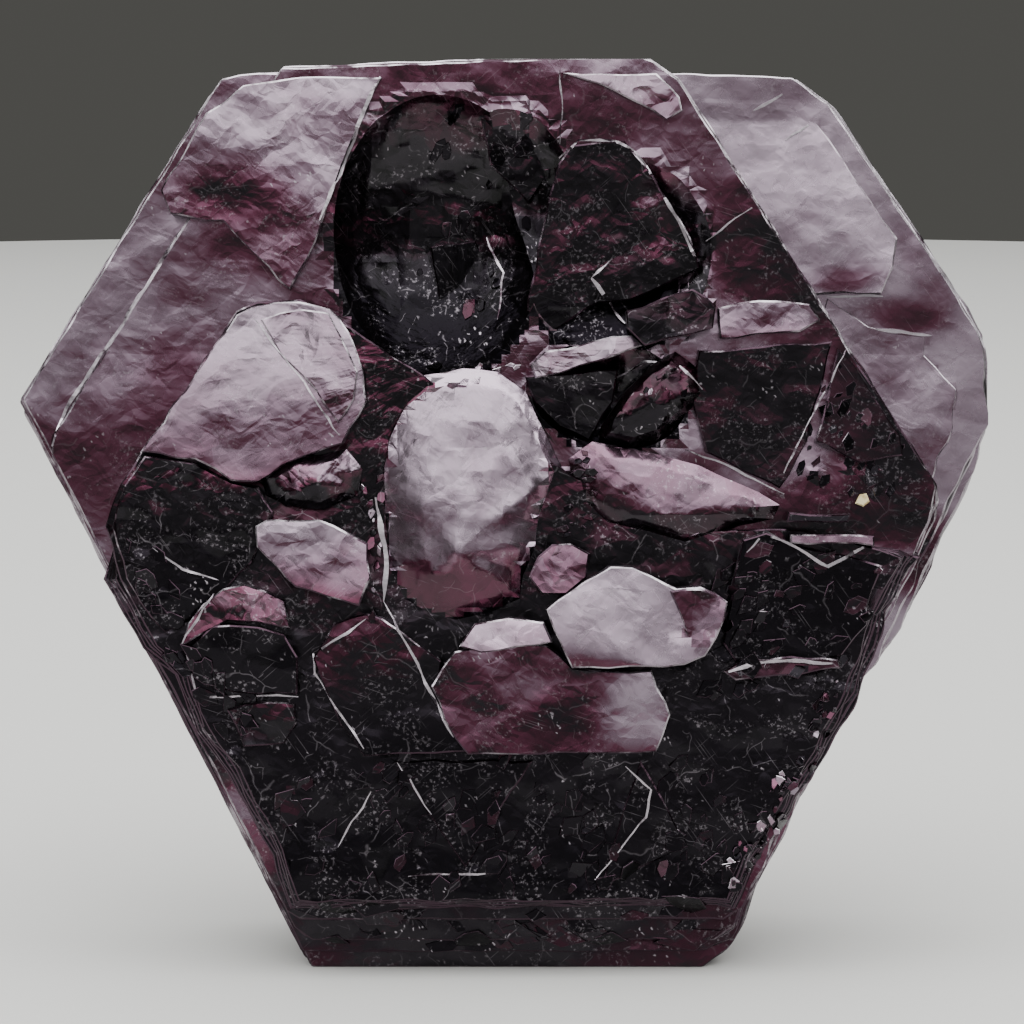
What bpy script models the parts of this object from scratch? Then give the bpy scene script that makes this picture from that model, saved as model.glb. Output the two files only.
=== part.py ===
"""Molybdenite crystal: two thick six-sided booklets of sheets that grew together, standing on a flat foot.

Metres, +Z up. The broad face looks along -Y. The origin is the middle of the foot's box.

Shapes are laid out in millimetres in the crystal's own frame: x to the right, height along the sheets, and depth
from the foremost sheet to the back. That frame leans back by LEAN, and the foot is the level cut below it.
"""

import math

import bmesh
import bpy
from mathutils import Vector, noise

MM = 0.001

# Driving dimensions, in millimetres and degrees
LEAN = 6.0
FOOT_DEPTH = 3.0
BODY_FRONT = 1.9
BODY_BACK = 8.8
TWIN_FRONT = 4.9
TWIN_BACK = 10.0
BURIED = 4.6
BOX_MIDDLE_X = 0.07
BOX_MIDDLE_Y = 3.71

# The main booklet: the direction of each side, seen from the front, and how far it stands from the middle
BODY_MIDDLE = (0.0, 14.0)
BODY_SIDES = {
    "right_corner": (0.0, 13.1),
    "upper_right": (32.5, 11.4),
    "top_right_corner": (56.0, 13.65),
    "top": (92.0, 13.4),
    "top_left_high": (105.0, 14.75),
    "top_left_corner": (130.0, 15.5),
    "upper_left": (148.0, 14.28),
    "left_corner": (180.0, 15.0),
    "lower_left": (207.0, 11.8),
    "bottom_left_corner": (235.0, 15.0),
    "bottom": (270.0, 14.4),
    "bottom_right_corner": (305.0, 15.0),
    "lower_right": (334.4, 12.05),
}

# The second booklet, behind it on the right
TWIN_MIDDLE = (6.0, 16.0)
TWIN_SIDES = {
    "right_corner": (2.0, 8.95),
    "upper_right_low": (28.5, 9.3),
    "upper_right": (34.0, 9.25),
    "top_right_corner": (54.5, 10.8),
    "top": (88.0, 11.3),
    "upper_left": (148.0, 8.0),
    "lower_left": (207.0, 6.0),
    "bottom": (270.0, 10.85),
    "lower_right_end": (322.0, 8.6),
    "lower_right": (335.4, 8.25),
    "right_corner_low": (346.5, 8.6),
}

# Neighbouring sheets never share a side plane: each side steps in by its own small share of this, as in a book
SHEET_STEP = 0.05
SHEET_STEPS = 5
WIDE = 30.0


def in_world(x, depth, height):
    """A point of the crystal's own frame, in millimetres, as a world point in metres."""
    lean = math.radians(LEAN)
    back = depth - FOOT_DEPTH
    y = back * math.cos(lean) + height * math.sin(lean)
    z = height * math.cos(lean) - back * math.sin(lean)
    return Vector((x - BOX_MIDDLE_X, y - BOX_MIDDLE_Y, z)) * MM


def outline_of(middle, sides, insets, number):
    """The convex outline left when a wide square is trimmed by every side, each moved inwards by its inset."""
    corners = [(WIDE, WIDE), (-WIDE, WIDE), (-WIDE, -WIDE), (WIDE, -WIDE)]
    for place, (name, (angle, reach)) in enumerate(sides.items()):
        step = SHEET_STEP * ((3 * number + 2 * place) % SHEET_STEPS)
        turn = math.radians(angle)
        corners = trimmed(corners, math.cos(turn), math.sin(turn), reach - insets.get(name, 0.0) - step)
    return [(middle[0] + x, middle[1] + z) for x, z in corners]


def trimmed(corners, across, up, reach):
    """The part of a convex outline that lies within reach of the middle in the direction (across, up)."""
    kept = []
    for (ax, az), (bx, bz) in zip(corners, corners[1:] + corners[:1]):
        a_over = ax * across + az * up - reach
        b_over = bx * across + bz * up - reach
        if a_over <= 0.0:
            kept.append((ax, az))
        if a_over * b_over < 0.0:
            share = a_over / (a_over - b_over)
            kept.append((ax + share * (bx - ax), az + share * (bz - az)))
    return kept


def spread_insets(amount, **more):
    """The same inset on every side, and more or less on the sides that are named."""
    insets = {name: amount for name in BODY_SIDES}
    for name, extra in more.items():
        insets[name] = amount + extra
    return insets


def material(name, colour, roughness):
    made = bpy.data.materials.new(name)
    made.use_nodes = True
    shader = made.node_tree.nodes["Principled BSDF"]
    shader.inputs["Base Color"].default_value = (*colour, 1.0)
    shader.inputs["Metallic"].default_value = 0.9
    shader.inputs["Roughness"].default_value = roughness
    return made


def solid(name, mesh, helper=True):
    """Links a bmesh as an object with the purple-grey finish. A helper is a cutter or a sheet that the body takes in."""
    bmesh.ops.recalc_face_normals(mesh, faces=mesh.faces)
    data = bpy.data.meshes.new(name)
    mesh.to_mesh(data)
    mesh.free()
    data.materials.append(FINISH)
    made = bpy.data.objects.new(name, data)
    made.hide_render = helper
    made.display_type = "WIRE" if helper else "TEXTURED"
    return made


def prism(name, outline, front, back, rise=0.0, turn=0.0, helper=True):
    """A sheet or flake: an outline run from its front face to its back.

    rise tips the front face upwards and turn tips it to the right, in degrees, about the outline's middle.
    """
    middle_x = sum(x for x, _ in outline) / len(outline)
    middle_z = sum(z for _, z in outline) / len(outline)
    slope_up = math.tan(math.radians(rise))
    slope_right = math.tan(math.radians(turn))
    mesh = bmesh.new()
    near = []
    far = []
    for x, z in outline:
        depth = front + (z - middle_z) * slope_up + (x - middle_x) * slope_right
        near.append(mesh.verts.new(in_world(x, depth, z)))
        far.append(mesh.verts.new(in_world(x, back, z)))
    mesh.faces.new(near)
    mesh.faces.new(reversed(far))
    for i in range(len(near)):
        j = (i + 1) % len(near)
        mesh.faces.new((near[j], near[i], far[i], far[j]))
    return solid(name, mesh, helper)


def mound(name, outline, peak, rings, front, crumple=0.0):
    """A swelling: its outline drawn in towards the peak in rings of (share, depth in front), then closed by a point."""
    mesh = bmesh.new()
    layers = [[mesh.verts.new(in_world(x, BURIED - 0.02 * len(outline), z)) for x, z in outline]]
    for share, lift in rings:
        layer = []
        for x, z in outline:
            px = peak[0] + (x - peak[0]) * share
            pz = peak[1] + (z - peak[1]) * share
            rough = crumple * noise.noise(Vector((px, pz, lift * 3.0)))
            layer.append(mesh.verts.new(in_world(px, front - lift + rough, pz)))
        layers.append(layer)
    top = mesh.verts.new(in_world(peak[0], front - rings[-1][1] - 0.1, peak[1]))
    mesh.faces.new(reversed(layers[0]))
    for low, high in zip(layers, layers[1:]):
        for i in range(len(low)):
            j = (i + 1) % len(low)
            mesh.faces.new((low[i], low[j], high[j], high[i]))
    last = layers[-1]
    for i in range(len(last)):
        mesh.faces.new((last[i], last[(i + 1) % len(last)], top))
    return solid(name, mesh)


def bowl(name, middle, reach, depth, tilt=0.0, around=28, rows=9):
    """A cutter for a rounded hollow: a half ellipsoid whose rim is in front of the face it cuts."""
    mesh = bmesh.new()
    rim_depth = depth[0]
    deepest = depth[1]
    turn = math.radians(tilt)
    layers = []
    for row in range(rows):
        share = math.cos(0.5 * math.pi * row / rows)
        down = rim_depth + (deepest - rim_depth) * math.sin(0.5 * math.pi * row / rows)
        layer = []
        for step in range(around):
            angle = 2.0 * math.pi * step / around
            x = reach[0] * share * math.cos(angle)
            z = reach[1] * share * math.sin(angle)
            px = middle[0] + x * math.cos(turn) - z * math.sin(turn)
            pz = middle[1] + x * math.sin(turn) + z * math.cos(turn)
            layer.append(mesh.verts.new(in_world(px, down, pz)))
        layers.append(layer)
    bottom = mesh.verts.new(in_world(middle[0], deepest, middle[1]))
    mesh.faces.new(layers[0])
    for low, high in zip(layers, layers[1:]):
        for i in range(around):
            j = (i + 1) % around
            mesh.faces.new((low[i], low[j], high[j], high[i]))
    for i in range(around):
        mesh.faces.new((layers[-1][i], layers[-1][(i + 1) % around], bottom))
    return solid(name, mesh)


def level_cut():
    """The block below the foot, which the leaning sheets are trimmed against."""
    mesh = bmesh.new()
    bmesh.ops.create_cube(mesh, size=2.0)
    half = 40.0 * MM
    for vert in mesh.verts:
        vert.co = Vector((vert.co.x * half, vert.co.y * half, vert.co.z * 5.0 * MM - 5.0 * MM))
    return solid("below_foot", mesh)


def body_sheets():
    """The sheets of the main booklet, front to back. Each lists (front, back, insets of its sides)."""
    layers = (
        (BODY_FRONT, 2.55, spread_insets(0.0, upper_left=1.5, left_corner=1.35, lower_left=0.3,
                                         bottom=1.9, bottom_left_corner=1.2, bottom_right_corner=1.0,
                                         lower_right=0.35, right_corner=0.1, top=-0.1, top_left_corner=0.1)),
        (2.4, 2.85, spread_insets(0.0, upper_left=0.2, lower_left=0.3, bottom=1.3, bottom_left_corner=0.8,
                                  bottom_right_corner=0.6, lower_right=0.3, top_right_corner=0.3)),
        (2.75, 3.1, spread_insets(0.1, upper_left=-0.1, bottom=0.75, bottom_left_corner=0.3,
                                  bottom_right_corner=0.3, lower_right=0.1, top_right_corner=0.2)),
        (3.0, 4.1, spread_insets(0.0, top=0.2, upper_right=0.15, bottom=0.25, upper_left=0.2, lower_left=0.1,
                                 lower_right=0.1)),
        (4.0, 4.9, spread_insets(0.05, top=0.05, lower_left=-0.1, upper_left=0.15)),
        (4.8, 6.0, spread_insets(0.2, top=0.2, lower_left=-0.25, upper_left=0.25, bottom=-0.1)),
        (5.9, 6.9, spread_insets(0.3, top=0.7, upper_left=0.6, bottom=-0.3, lower_left=-0.2)),
        (6.8, 7.8, spread_insets(0.8, top=0.8, upper_left=0.9, bottom=-0.8, lower_left=-0.4)),
        (7.7, 8.35, spread_insets(1.5, top=1.4, upper_left=1.2, bottom=-1.5, lower_left=-0.7)),
        (8.25, BODY_BACK, spread_insets(2.9, top=2.6, upper_left=1.6, bottom=-2.9, lower_left=-1.6)),
    )
    made = []
    for number, (front, back, insets) in enumerate(layers, 1):
        outline = outline_of(BODY_MIDDLE, BODY_SIDES, insets, number)
        made.append(prism(f"body_sheet_{number}", outline, front, back))
    return made


def twin_sheets():
    """The sheets of the second booklet, front to back."""
    layers = (
        (TWIN_FRONT, 5.45, {"lower_right": 0.35, "upper_right": 0.12, "upper_right_low": 0.1, "bottom": 0.9}, 1.5),
        (5.35, 5.95, {"lower_right": 0.1, "bottom": 0.3}, 0.0),
        (5.85, 6.6, {"upper_right": 0.1, "right_corner": 0.15}, 0.0),
        (6.5, 7.6, {"top": 0.2, "lower_right": 0.2, "bottom": 0.2}, 0.0),
        (7.5, 8.7, {"top": 0.6, "upper_right": 0.3, "upper_right_low": 0.35, "right_corner": 0.4}, 0.0),
        (8.6, 9.4, {"top": 1.5, "upper_right": 1.0, "upper_right_low": 1.1, "right_corner": 1.2, "bottom": 1.0}, 0.0),
        (9.3, TWIN_BACK, {"top": 3.2, "upper_right": 1.9, "upper_right_low": 1.9, "right_corner": 2.0,
                          "bottom": 2.5, "lower_right": 0.9}, 0.0),
    )
    made = []
    for number, (front, back, insets, rise) in enumerate(layers, 1):
        outline = outline_of(TWIN_MIDDLE, TWIN_SIDES, insets, number)
        made.append(prism(f"twin_sheet_{number}", outline, front, back, rise))
    return made


def hollows():
    """Cutters for the smooth bowl near the top, scooped out in three strokes, and the shallow ones to its right."""
    return [
        bowl("bowl_floor", (-2.2, 21.4), (2.85, 3.15), (1.2, 4.7), tilt=0.0, around=24, rows=8),
        bowl("bowl_throat", (-2.1, 23.3), (2.7, 3.3), (1.25, 4.1), tilt=6.0, around=22, rows=7),
        bowl("bowl_side", (-0.4, 22.9), (1.75, 3.1), (1.3, 3.3), tilt=8.0, around=20, rows=6),
        bowl("right_bowl", (3.4, 21.5), (3.3, 3.4), (1.15, 2.9), tilt=-25.0, around=24, rows=6),
        bowl("right_trough", (3.1, 17.4), (2.8, 1.9), (1.1, 2.7), tilt=-8.0, around=20, rows=5),
        bowl("pinhole", (1.9, 14.5), (0.5, 0.85), (0.6, 2.5), around=12, rows=5),
    ]


def terraces():
    """Flakes that stand on the broad face: name, outline, front depth, back depth, rise and turn of the face."""
    flakes = {
        "top_left_terrace": (
            [(-10.3, 23.5), (-10.0, 22.8), (-9.0, 22.65), (-8.4, 22.6), (-7.1, 21.2), (-6.4, 20.55), (-5.6, 22.0),
             (-4.9, 24.2), (-3.7, 26.9), (-6.1, 26.9), (-7.8, 26.6), (-8.9, 25.8)], 1.6, 3.4, 2.0, -1.0),
        "lower_sheet": (
            [(-8.0, 19.9), (-7.4, 20.2), (-6.1, 20.3), (-4.6, 19.4), (-1.5, 17.4), (2.0, 15.0), (5.5, 13.4),
             (9.0, 13.4), (11.9, 12.6), (11.0, 10.9), (10.2, 8.6), (9.3, 6.8), (8.3, 5.2), (7.2, 3.5),
             (6.7, 2.3), (-6.2, 2.25), (-6.7, 3.8), (-8.0, 6.2), (-8.9, 7.4), (-9.5, 9.1), (-10.4, 9.9),
             (-11.5, 11.9), (-11.9, 13.5), (-11.5, 14.8)], 1.35, 3.5, 0.6, 0.0),
        "left_plate": (
            [(-8.0, 19.8), (-7.4, 20.1), (-6.1, 20.2), (-5.2, 20.0), (-4.6, 19.3), (-4.2, 18.1), (-4.1, 17.2),
             (-4.8, 16.0), (-6.6, 15.3), (-7.3, 14.8), (-8.1, 14.9), (-9.2, 15.5), (-10.8, 15.7)],
            1.0, 3.05, 7.0, -1.0),
        "left_fold": (
            [(-10.7, 15.6), (-9.2, 15.4), (-8.1, 14.8), (-7.3, 14.7), (-6.9, 13.9), (-7.6, 12.4), (-9.0, 10.9),
             (-10.2, 10.3), (-11.3, 11.9), (-11.7, 13.5), (-11.3, 14.7)], 1.05, 2.95, -5.0, 0.0),
        "small_plate": (
            [(-7.4, 13.5), (-7.1, 13.7), (-5.5, 13.7), (-4.7, 13.4), (-4.1, 13.0), (-4.0, 12.0), (-4.3, 11.2),
             (-5.3, 11.5), (-6.2, 11.7), (-6.9, 12.4), (-7.4, 12.9)], 0.75, 2.6, 8.0, -2.0),
        "wedge_crest": (
            [(-9.6, 9.9), (-9.4, 10.6), (-9.0, 11.2), (-8.4, 11.6), (-7.8, 11.8), (-7.1, 11.6), (-6.6, 11.3),
             (-6.4, 10.4), (-7.3, 10.6), (-8.3, 10.7), (-9.0, 10.3)], 0.95, 2.85, 14.0, -2.0),
        "left_wedge": (
            [(-9.5, 9.8), (-8.7, 10.6), (-7.3, 10.5), (-6.5, 10.3), (-6.2, 9.6), (-6.2, 8.5), (-8.1, 8.5),
             (-9.0, 8.8), (-9.4, 9.3)], 0.95, 2.9, -7.0, -3.0),
        "low_chip": (
            [(-8.3, 8.0), (-7.3, 8.3), (-6.3, 8.2), (-6.2, 7.6), (-6.6, 7.0), (-7.8, 6.9)], 1.1, 2.75, -3.0, 2.0),
        "lower_left_plate": (
            [(-5.7, 9.6), (-5.1, 10.6), (-4.1, 10.9), (-3.6, 10.8), (-1.9, 9.5), (-2.0, 8.6), (-1.0, 6.8),
             (-4.2, 6.7), (-4.9, 7.6)], 0.85, 2.8, 1.5, -2.0),
        "lower_plate": (
            [(-2.2, 8.8), (-1.5, 9.8), (-0.5, 10.0), (1.2, 10.0), (2.0, 9.3), (4.3, 9.2), (4.95, 7.9), (4.5, 6.8),
             (-1.1, 6.75), (-1.8, 7.8)], 0.5, 2.7, 3.0, 2.0),
        "lower_plate_crest": (
            [(-1.4, 9.95), (-0.9, 10.6), (0.1, 10.85), (1.2, 10.7), (1.4, 10.1), (0.4, 9.9), (-0.7, 9.8)],
            0.55, 2.45, 14.0, 0.0),
        "lower_plate_end": (
            [(2.7, 9.15), (4.25, 9.15), (4.9, 7.9), (4.45, 6.85), (4.0, 6.9), (3.5, 8.2)], 0.5, 2.35, 7.0, 3.0),
        "front_plate": (
            [(1.2, 11.1), (1.9, 11.6), (3.1, 12.3), (3.8, 12.3), (5.1, 11.7), (5.8, 11.75), (6.6, 11.3),
             (6.55, 10.8), (5.9, 9.7), (5.3, 9.4), (2.0, 9.35)], 0.2, 2.5, 7.0, 1.0),
        "front_plate_end": (
            [(4.9, 11.65), (5.8, 11.7), (6.55, 11.25), (6.5, 10.8), (5.9, 9.75), (5.5, 9.8)], 0.2, 2.25, 3.0, 6.0),
        "oval_scrap": (
            [(0.75, 12.0), (1.0, 12.6), (1.4, 12.95), (1.95, 13.0), (2.5, 12.7), (2.4, 12.0), (1.8, 11.5),
             (1.05, 11.5)], 0.75, 2.3, 6.0, 2.0),
        "lower_right_plate": (
            [(7.1, 13.1), (7.8, 13.3), (8.8, 12.9), (9.7, 12.7), (10.6, 12.55), (11.2, 12.35), (10.7, 10.6),
             (10.0, 9.6), (8.5, 9.4), (6.9, 9.5), (6.5, 10.0), (6.7, 11.2), (6.9, 12.4)], 1.0, 2.65, -1.0, 1.0),
        "ledge_bar": (
            [(6.5, 9.2), (7.2, 9.6), (8.5, 9.65), (9.9, 9.55), (10.0, 9.25), (8.8, 9.1), (6.9, 8.95)],
            0.75, 2.4, 10.0, 0.0),
        "slot_bar": ([(8.45, 13.9), (10.3, 13.85), (10.25, 13.6), (8.4, 13.65)], 1.0, 2.52, 12.0, 0.0),
        "slot_line": ([(8.5, 13.3), (11.0, 13.2), (11.0, 12.95), (8.5, 13.0)], 0.85, 2.15, 10.0, 0.0),
        "slate_plate": (
            [(9.3, 16.0), (10.0, 18.8), (10.4, 18.3), (11.2, 17.1), (11.8, 16.2), (11.9, 15.6), (10.6, 15.4)],
            1.5, 3.2, 1.0, 4.0),
        "brown_plate": (
            [(5.8, 18.7), (7.6, 18.9), (9.8, 19.0), (9.0, 16.0), (8.2, 14.6), (6.0, 15.7), (5.6, 17.2)],
            1.62, 3.25, -2.0, 1.0),
        "bright_strip": (
            [(6.35, 20.0), (7.6, 20.25), (9.1, 20.1), (9.4, 19.7), (8.8, 19.3), (6.4, 19.1)], 1.45, 3.8, 12.0, 0.0),
        "brick": (
            [(3.6, 19.9), (5.6, 20.6), (6.3, 20.1), (6.2, 19.4), (4.2, 18.9), (3.6, 19.4)], 1.1, 4.0, 5.0, 3.0),
        "pale_strip": (
            [(0.75, 18.3), (1.2, 18.7), (2.5, 19.0), (3.8, 19.2), (4.1, 18.9), (2.8, 18.4), (1.6, 18.1),
             (0.9, 17.9)], 1.4, 4.15, 14.0, -2.0),
        "left_facets": (
            [(0.6, 18.0), (1.6, 18.0), (3.4, 18.2), (3.2, 17.2), (2.5, 16.0), (1.6, 16.5), (0.9, 17.2)],
            1.75, 4.3, -8.0, 4.0),
        "upper_right_plate": (
            [(1.6, 24.3), (2.0, 24.9), (2.8, 25.0), (3.6, 25.0), (4.1, 24.4), (4.9, 23.2), (5.6, 22.1),
             (5.8, 21.2), (4.8, 20.7), (3.8, 20.3), (2.8, 20.2), (1.6, 19.4), (0.8, 18.9), (0.7, 20.2),
             (1.1, 22.3)], 2.2, 4.8, -4.0, 2.0),
        "bowl_facet": (
            [(-2.3, 21.9), (-0.9, 22.1), (-0.3, 21.0), (-0.5, 19.4), (-1.5, 19.0), (-2.0, 20.2)],
            3.6, 5.3, -6.0, 12.0),
        "bowl_shelf": (
            [(-0.9, 26.3), (1.3, 26.4), (1.5, 24.3), (0.7, 23.2), (-0.4, 24.3)], 2.4, 5.2, -7.0, 5.0),
        "top_rim_flake": (
            [(1.7, 27.0), (4.5, 27.0), (5.2, 26.3), (5.3, 25.9), (4.8, 25.6), (4.0, 26.1), (2.8, 26.7)],
            1.62, 3.3, 9.0, 0.0),
        "triangle_left": ([(-3.3, 6.5), (0.8, 6.5), (-1.2, 3.3)], 1.15, 2.2, 1.5, -1.0),
        "triangle_right": ([(4.05, 6.5), (5.5, 3.9), (2.9, 2.7), (3.4, 4.6)], 1.2, 2.1, 0.0, 2.0),
    }
    return [
        prism(name, outline, front, back, rise, turn)
        for name, (outline, front, back, rise, turn) in flakes.items()
    ]


def swellings():
    """The crumpled lump at the middle, the wave to its right, the glassy shard and the lumps by the left plate."""
    return [
        mound(
            "middle_lump",
            [(-3.8, 14.1), (-3.8, 15.4), (-3.6, 16.4), (-3.1, 17.4), (-2.4, 18.0), (-1.3, 18.2), (-0.2, 18.1),
             (0.6, 17.5), (1.3, 16.1), (1.7, 15.3), (1.4, 14.5), (1.2, 13.9), (1.1, 12.9), (0.7, 12.0),
             (0.6, 11.2), (-0.2, 10.8), (-1.5, 10.5), (-2.4, 10.8), (-3.1, 11.2), (-3.6, 12.2)],
            (-1.4, 12.8),
            ((1.0, 0.0), (0.92, 0.35), (0.72, 0.62), (0.45, 0.85), (0.2, 1.0)),
            1.7,
            crumple=0.2,
        ),
        mound(
            "right_wave",
            [(1.9, 15.5), (2.6, 16.0), (4.0, 15.8), (5.8, 15.3), (7.6, 14.5), (8.2, 14.1), (8.0, 13.7),
             (7.0, 13.5), (5.5, 12.9), (4.0, 13.3), (2.8, 13.6), (2.1, 14.3)],
            (4.6, 13.9),
            ((1.0, 0.0), (0.8, 0.3), (0.45, 0.5), (0.2, 0.58)),
            1.55,
            crumple=0.2,
        ),
        mound(
            "glassy_shard",
            [(2.8, 16.0), (2.9, 16.5), (3.6, 17.5), (4.4, 18.3), (5.1, 18.7), (5.8, 18.2), (6.0, 17.5), (5.5, 16.9),
             (4.6, 16.1), (3.7, 15.8)],
            (4.3, 17.2),
            ((1.0, 0.0), (0.75, 0.55), (0.35, 0.8)),
            1.8,
            crumple=0.35,
        ),
        mound(
            "crushed_lumps",
            [(-7.3, 15.0), (-6.5, 15.6), (-5.5, 15.6), (-4.7, 15.8), (-4.25, 15.2), (-4.4, 14.4), (-5.4, 14.0),
             (-6.5, 14.1), (-7.1, 14.4)],
            (-5.6, 14.8),
            ((1.0, 0.0), (0.7, 0.3), (0.35, 0.4)),
            1.2,
            crumple=0.25,
        ),
    ]


def twin_steps():
    """Low steps on the second booklet's face."""
    return [
        prism("twin_upper_step", [(4.0, 22.0), (4.0, 26.4), (6.5, 26.4), (8.9, 26.3), (9.5, 25.9), (11.2, 23.3),
                                  (12.0, 22.2), (11.9, 21.3), (11.5, 20.5), (7.0, 20.5)], 4.72, 7.45, rise=2.0),
        prism("twin_lower_step", [(9.9, 20.4), (11.2, 19.5), (12.9, 19.2), (12.9, 18.6), (13.9, 17.6), (13.8, 16.4),
                                  (12.6, 13.6), (10.0, 10.0), (8.0, 12.0)], 4.8, 7.35, rise=1.0, turn=1.0),
    ]


def add_boolean(target, helpers, operation, label):
    """One live Boolean on target, against every helper in a collection of its own."""
    group = bpy.data.collections.new(label)
    bpy.context.scene.collection.children.link(group)
    for helper in helpers:
        group.objects.link(helper)
    modifier = target.modifiers.new(label, "BOOLEAN")
    modifier.operation = operation
    modifier.operand_type = "COLLECTION"
    modifier.collection = group
    modifier.solver = "EXACT"


def build():
    sheets = body_sheets()
    core = outline_of(BODY_MIDDLE, BODY_SIDES, spread_insets(1.0), 0)
    crystal = prism("crystal", core, 3.33, 7.03, helper=False)
    bpy.context.scene.collection.objects.link(crystal)
    add_boolean(crystal, sheets + twin_sheets(), "UNION", "sheets")
    add_boolean(crystal, hollows(), "DIFFERENCE", "hollows")
    add_boolean(crystal, terraces() + swellings() + twin_steps(), "UNION", "flakes")
    add_boolean(crystal, [level_cut()], "DIFFERENCE", "foot")
    crystal.name = "crystal"
    return crystal


for old in list(bpy.data.objects):
    bpy.data.objects.remove(old)

FINISH = material("purple_grey_metal", (0.16, 0.11, 0.14), 0.28)
build()
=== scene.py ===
"""A molybdenite crystal, dressed for the photograph's light.

Two thick six-sided booklets of thin sheets grew together. The broad face carries a deep smooth bowl, a
shallower one, flakes at slightly different tilts, a crumpled lump, torn ridges and small broken scales. The
metal is purple grey, with its reflections painted into its colour: pale mauve where a facet is turned up to
the light, maroon in between, and near black where it faces the dark. Edges and fine marks carry painted
glints.

Shapes are laid out in millimetres in the crystal's own frame, StackSpace: x to the right, depth from the
foremost sheet to the back, and height along the sheets.
"""

import logging
import math
import random
from dataclasses import dataclass, field
from enum import Enum, IntEnum

import bpy
import numpy as np
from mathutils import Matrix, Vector, noise


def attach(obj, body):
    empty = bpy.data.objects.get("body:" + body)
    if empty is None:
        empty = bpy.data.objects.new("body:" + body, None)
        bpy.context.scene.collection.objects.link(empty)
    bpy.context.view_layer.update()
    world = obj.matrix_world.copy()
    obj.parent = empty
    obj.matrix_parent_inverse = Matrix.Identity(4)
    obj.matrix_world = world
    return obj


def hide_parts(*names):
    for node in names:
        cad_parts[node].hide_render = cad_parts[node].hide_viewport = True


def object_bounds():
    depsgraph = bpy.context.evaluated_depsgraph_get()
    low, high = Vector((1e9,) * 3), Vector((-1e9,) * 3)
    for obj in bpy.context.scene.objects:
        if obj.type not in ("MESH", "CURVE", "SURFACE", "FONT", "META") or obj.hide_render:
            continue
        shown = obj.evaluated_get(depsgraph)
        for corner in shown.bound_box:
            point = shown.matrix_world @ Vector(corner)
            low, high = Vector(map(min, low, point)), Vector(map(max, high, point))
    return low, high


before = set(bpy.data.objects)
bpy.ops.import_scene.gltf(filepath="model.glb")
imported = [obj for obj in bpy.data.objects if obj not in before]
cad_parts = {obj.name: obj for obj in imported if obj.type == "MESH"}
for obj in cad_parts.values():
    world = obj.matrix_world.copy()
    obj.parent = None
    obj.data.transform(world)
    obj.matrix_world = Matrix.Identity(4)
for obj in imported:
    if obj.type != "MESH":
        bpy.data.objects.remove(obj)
CAD_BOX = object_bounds()

LOG = logging.getLogger("molybdenite")
MM = 0.001
Outline = tuple[tuple[float, float], ...]


class Tone(Enum):
    """Painted reflection: how much light a facet seems to give back, near black through maroon to pale mauve.
    """

    BLACK = 0.04
    SHADE = 0.2
    DUSK = 0.32
    MAROON = 0.45
    MAUVE = 0.62
    PALE = 0.8
    BRIGHT = 0.95


class Slot(IntEnum):
    """The crystal's material slots."""

    CLEAVAGE = 0
    # The edges' slot, whose finish paints highlights and shade on them.
    EDGE_GLINT = 1
    SPECK = 2


@dataclass(frozen=True)
class StackSpace:
    """The crystal's own frame, leaning back on its foot, in millimetres."""

    lean: float = math.radians(6.0)
    foot_depth: float = 3.0
    middle_x: float = 0.07
    middle_y: float = 3.71

    @property
    def right(self) -> Vector:
        """The direction of x in the world."""
        return Vector((1.0, 0.0, 0.0))

    @property
    def inwards(self) -> Vector:
        """The direction of depth in the world."""
        return Vector((0.0, math.cos(self.lean), -math.sin(self.lean)))

    @property
    def up(self) -> Vector:
        """The direction of height in the world."""
        return Vector((0.0, math.sin(self.lean), math.cos(self.lean)))

    @property
    def axes(self) -> np.ndarray:
        """The three directions, as rows."""
        return np.array([self.right, self.inwards, self.up])

    @property
    def start(self) -> Vector:
        """The world place, in metres, of the frame's zero."""
        return Vector((-self.middle_x, -self.middle_y, 0.0)) * MM - self.inwards * (self.foot_depth * MM)

    def point(self, x: float, depth: float, height: float) -> Vector:
        """The world place of a point of the crystal, in metres.

        Args:
            x: Millimetres to the right.
            depth: Millimetres behind the foremost sheet.
            height: Millimetres along the sheets.

        Returns:
            The point's place in metres.
        """
        return self.start + (self.right * x + self.inwards * depth + self.up * height) * MM

    def measured(self, places: np.ndarray) -> np.ndarray:
        """The stack coordinates of many world places.

        Args:
            places: World coordinates in metres, one row a point.

        Returns:
            Columns x, depth and height in millimetres.
        """
        return (places - np.array(self.start)) @ self.axes.T / MM


SPACE = StackSpace()


def inside(outline: Outline, x: np.ndarray, height: np.ndarray) -> np.ndarray:
    """Tells which places lie inside an outline of the sheets' plane.

    Args:
        outline: The corners in order.
        x: The places' distances to the right.
        height: Their heights.

    Returns:
        True for each place inside.
    """
    within = np.zeros(len(x), bool)
    for (ax, az), (bx, bz) in zip(outline, outline[1:] + outline[:1]):
        crosses = (az > height) != (bz > height)
        at = ax + (height - az) * (bx - ax) / ((bz - az) or 1e-9)
        within ^= crosses & (x < at)
    return within


@dataclass(frozen=True)
class Side:
    """One side of a booklet: its outward direction in degrees and its distance from the middle."""

    angle: float
    reach: float


@dataclass(frozen=True)
class Layer:
    """A run of sheets between two depths, with the insets of its sides and the sheets' thickness."""

    front: float
    back: float
    inset: float
    more: dict[str, float] = field(default_factory=dict)
    sheet: float = 0.34

    def inset_of(self, side: str) -> float:
        """The inset of a named side, in millimetres."""
        return self.inset + self.more.get(side, 0.0)


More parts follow.
